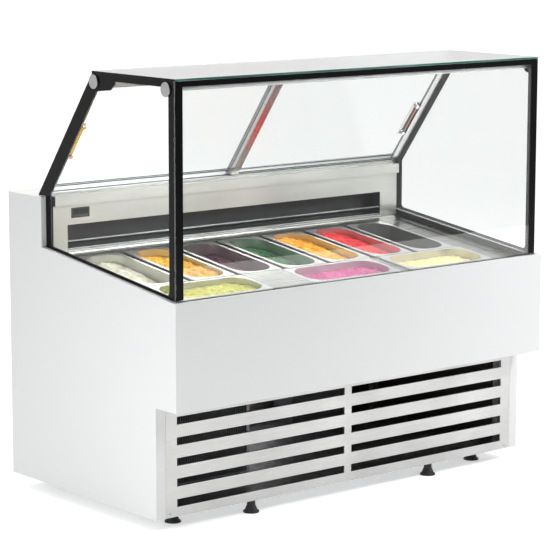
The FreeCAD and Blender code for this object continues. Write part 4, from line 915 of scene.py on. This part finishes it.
# ---------------------------------------------------------------- lamp
# A strip lamp sits in the rail's groove behind an opal diffuser of extruded acrylic.
OPAL = (0.86, 0.87, 0.85, 1)
OPAL_DEEP = (0.74, 0.75, 0.73, 1)

opal, tree, shader = finish("opal_acrylic", Subsurface_Weight=0.2, Subsurface_Scale=0.002)
cloudy = add(tree, "ShaderNodeTexNoise", Scale=90, Detail=3, Vector=scaled_place(tree, (1, 1, 1)))
tree.links.new(mixed_colour(tree, cloudy.outputs[0], OPAL, OPAL_DEEP), shader.inputs["Base Color"])
tree.links.new(remapped(tree, cloudy.outputs[0], 0.25, 0.4), shader.inputs["Roughness"])
dress(opal, "led_lamp")


# ---------------------------------------------------------------- sliding doors
# Two frameless panes run in the tracks behind the servers' side, one behind the other.
# Their lower edges are polished and show the green of the glass.
EDGE_FOOT = 13.5 * MM
EDGE_TOP = 18 * MM

door_clear = clear_glass("door_clear_glass", 1.16, 0.0, GLASS_TINT, GLASS_TINT_THICK)
dress(door_clear, "left_door_pane", "right_door_pane")

slope = side_pane_corners("side_glass_left")
up_glass = Vector((0, *slope["slant_top"])) - Vector((0, *slope["slant_foot"]))
up_glass.normalize()
off_glass = ACROSS.cross(up_glass)
for side in ("left", "right"):
    low, high = local_box(f"{side}_door_pane", ACROSS, up_glass, off_glass)
    name = f"{side}_door_lower_edge"
    line = rectangle(low[0] + MM, high[0] - MM, low[1] + EDGE_FOOT, low[1] + EDGE_TOP)
    at = off_glass * (low[2] - SKIN)
    strip = new_piece(name, flat_plate(name, [line], SKIN, facing(ACROSS, up_glass, at)), polished_edge)
    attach(strip, f"{side}_door")


# ---------------------------------------------------------------- temperature display
# A snap-in thermostat in the inner wall: a dark case with an olive window and four soft
# keys below it. It shows nothing while the cabinet is off.
CASE_DARK = (0.012, 0.014, 0.011, 1)
CASE_LIGHT = (0.02, 0.022, 0.018, 1)
WINDOW_OLIVE = (0.018, 0.022, 0.014, 1)
KEY_GREY = (0.11, 0.115, 0.105, 1)
KEYS = 4
KEY_HALF_WIDE = 4.5 * MM
KEY_TALL = 4.5 * MM
KEY_ROUND = 2 * MM
WINDOW_ROUND = 1.5 * MM


def moulded_plastic(name, colour, second, roughness, grain):
    """Moulded plastic with a fine spark-eroded texture."""
    made, tree, shader = finish(name, Specular_IOR_Level=0.45)
    texture = add(tree, "ShaderNodeTexNoise", Scale=1100, Detail=3, Vector=scaled_place(tree, (1, 1, 1)))
    handled = use(tree, smudges, Size=12.0, Contrast=0.6)["Mask"]
    tree.links.new(mixed_colour(tree, handled, colour, second), shader.inputs["Base Color"])
    gloss = remapped(tree, texture.outputs[0], roughness, roughness + 0.18)
    tree.links.new(gloss, shader.inputs["Roughness"])
    bumped(tree, shader, texture.outputs[0], grain)
    return made


display_plastic = moulded_plastic("display_plastic", CASE_DARK, CASE_LIGHT, 0.3, 0.00003)
dress(display_plastic, "temperature_display")
display_low, display_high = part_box("temperature_display")
across = display_high.x - display_low.x
tall = display_high.z - display_low.z
window_shape = rectangle(
    display_low.x + 0.1 * across,
    display_high.x - 0.1 * across,
    display_low.z + 0.38 * tall,
    display_high.z - 0.14 * tall,
    WINDOW_ROUND,
)
window_acrylic = moulded_plastic("window_acrylic", WINDOW_OLIVE, CASE_DARK, 0.05, 0.000002)
at = (0, display_low.y - SKIN, 0)
plate = flat_plate("display_window", [window_shape], 2 * SKIN, facing(*FACING_CUSTOMER, at))
display_window = new_piece("display_window", plate, window_acrylic)
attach(display_window, "cabinet")

key_rubber = moulded_plastic("key_rubber", KEY_GREY, CASE_LIGHT, 0.5, 0.00004)
keys = []
for i in range(KEYS):
    middle = display_low.x + across * (0.2 + 0.6 * i / (KEYS - 1))
    foot = display_low.z + 0.12 * tall
    sides = (middle - KEY_HALF_WIDE, middle + KEY_HALF_WIDE)
    keys.append(rectangle(*sides, foot, foot + KEY_TALL, KEY_ROUND))
plate = flat_plate("display_keys", keys, 5 * SKIN, facing(*FACING_CUSTOMER, at))
display_keys = new_piece("display_keys", plate, key_rubber)
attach(display_keys, "cabinet")


# ---------------------------------------------------------------- refrigeration
# Finned aluminium coils on copper tubes, plastic fans, a zinc shroud, an enamelled
# compressor and drawn copper pipes, which have darkened a little with handling.
FIN = (0.42, 0.43, 0.44, 1)
FIN_DULL = (0.26, 0.27, 0.28, 1)
COPPER = (0.78, 0.38, 0.24, 1)
COPPER_DARK = (0.30, 0.13, 0.08, 1)
NYLON = (0.022, 0.022, 0.023, 1)
DUST = (0.16, 0.155, 0.145, 1)
CAN_BLACK = (0.015, 0.015, 0.016, 1)

fins, tree, shader = finish("fin_aluminium", Metallic=1.0)
marks = use(tree, brushing, Grain=(600, 600, 8), Blotch_size=9.0)
tree.links.new(mixed_colour(tree, marks["Blotches"], FIN, FIN_DULL), shader.inputs["Base Color"])
tree.links.new(remapped(tree, marks["Lines"], 0.3, 0.5), shader.inputs["Roughness"])
bumped(tree, shader, marks["Lines"], 0.00005)
dress(fins, "evaporator_coil", "condenser_coil")
dress(zinc, "fan_shroud")

nylon = moulded_plastic("fan_nylon", NYLON, DUST, 0.4, 0.00005)
dress(nylon, "evaporator_fan_left", "evaporator_fan_right", "condenser_fan")

can_enamel, tree, shader = finish("compressor_enamel", Coat_Weight=0.3, Coat_Roughness=0.2)
settled = use(tree, smudges, Size=14.0, Contrast=0.8)["Mask"]
tree.links.new(mixed_colour(tree, settled, CAN_BLACK, DUST), shader.inputs["Base Color"])
tree.links.new(remapped(tree, settled, 0.3, 0.6), shader.inputs["Roughness"])
sprayed = add(tree, "ShaderNodeTexNoise", Scale=500, Detail=2, Vector=scaled_place(tree, (1, 1, 1)))
bumped(tree, shader, sprayed.outputs[0], 0.0001)
dress(can_enamel, "compressor")

copper, tree, shader = finish("drawn_copper", Metallic=1.0)
tarnish = use(tree, smudges, Size=26.0, Contrast=1.0)["Mask"]
tree.links.new(mixed_colour(tree, tarnish, COPPER, COPPER_DARK), shader.inputs["Base Color"])
tree.links.new(remapped(tree, tarnish, 0.25, 0.5), shader.inputs["Roughness"])
dress(copper, "refrigerant_pipes")


# ---------------------------------------------------------------- electrics
# A grey moulded box behind the rear panel, a black rocker to tip with a finger, and a
# black nylon gland for the power cable.
BOX_GREY = (0.32, 0.33, 0.34, 1)
BOX_SHADE = (0.26, 0.27, 0.28, 1)
ROCKER = (0.012, 0.012, 0.013, 1)
ROCKER_WORN = (0.04, 0.04, 0.041, 1)

box_plastic = moulded_plastic("box_plastic", BOX_GREY, BOX_SHADE, 0.45, 0.00006)
dress(box_plastic, "control_box")
rocker_plastic = moulded_plastic("rocker_plastic", ROCKER, ROCKER_WORN, 0.25, 0.00003)
dress(rocker_plastic, "power_switch", "cable_gland")


# ---------------------------------------------------------------- size
# The finished model's box, round every shown piece but the floor.
low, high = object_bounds()
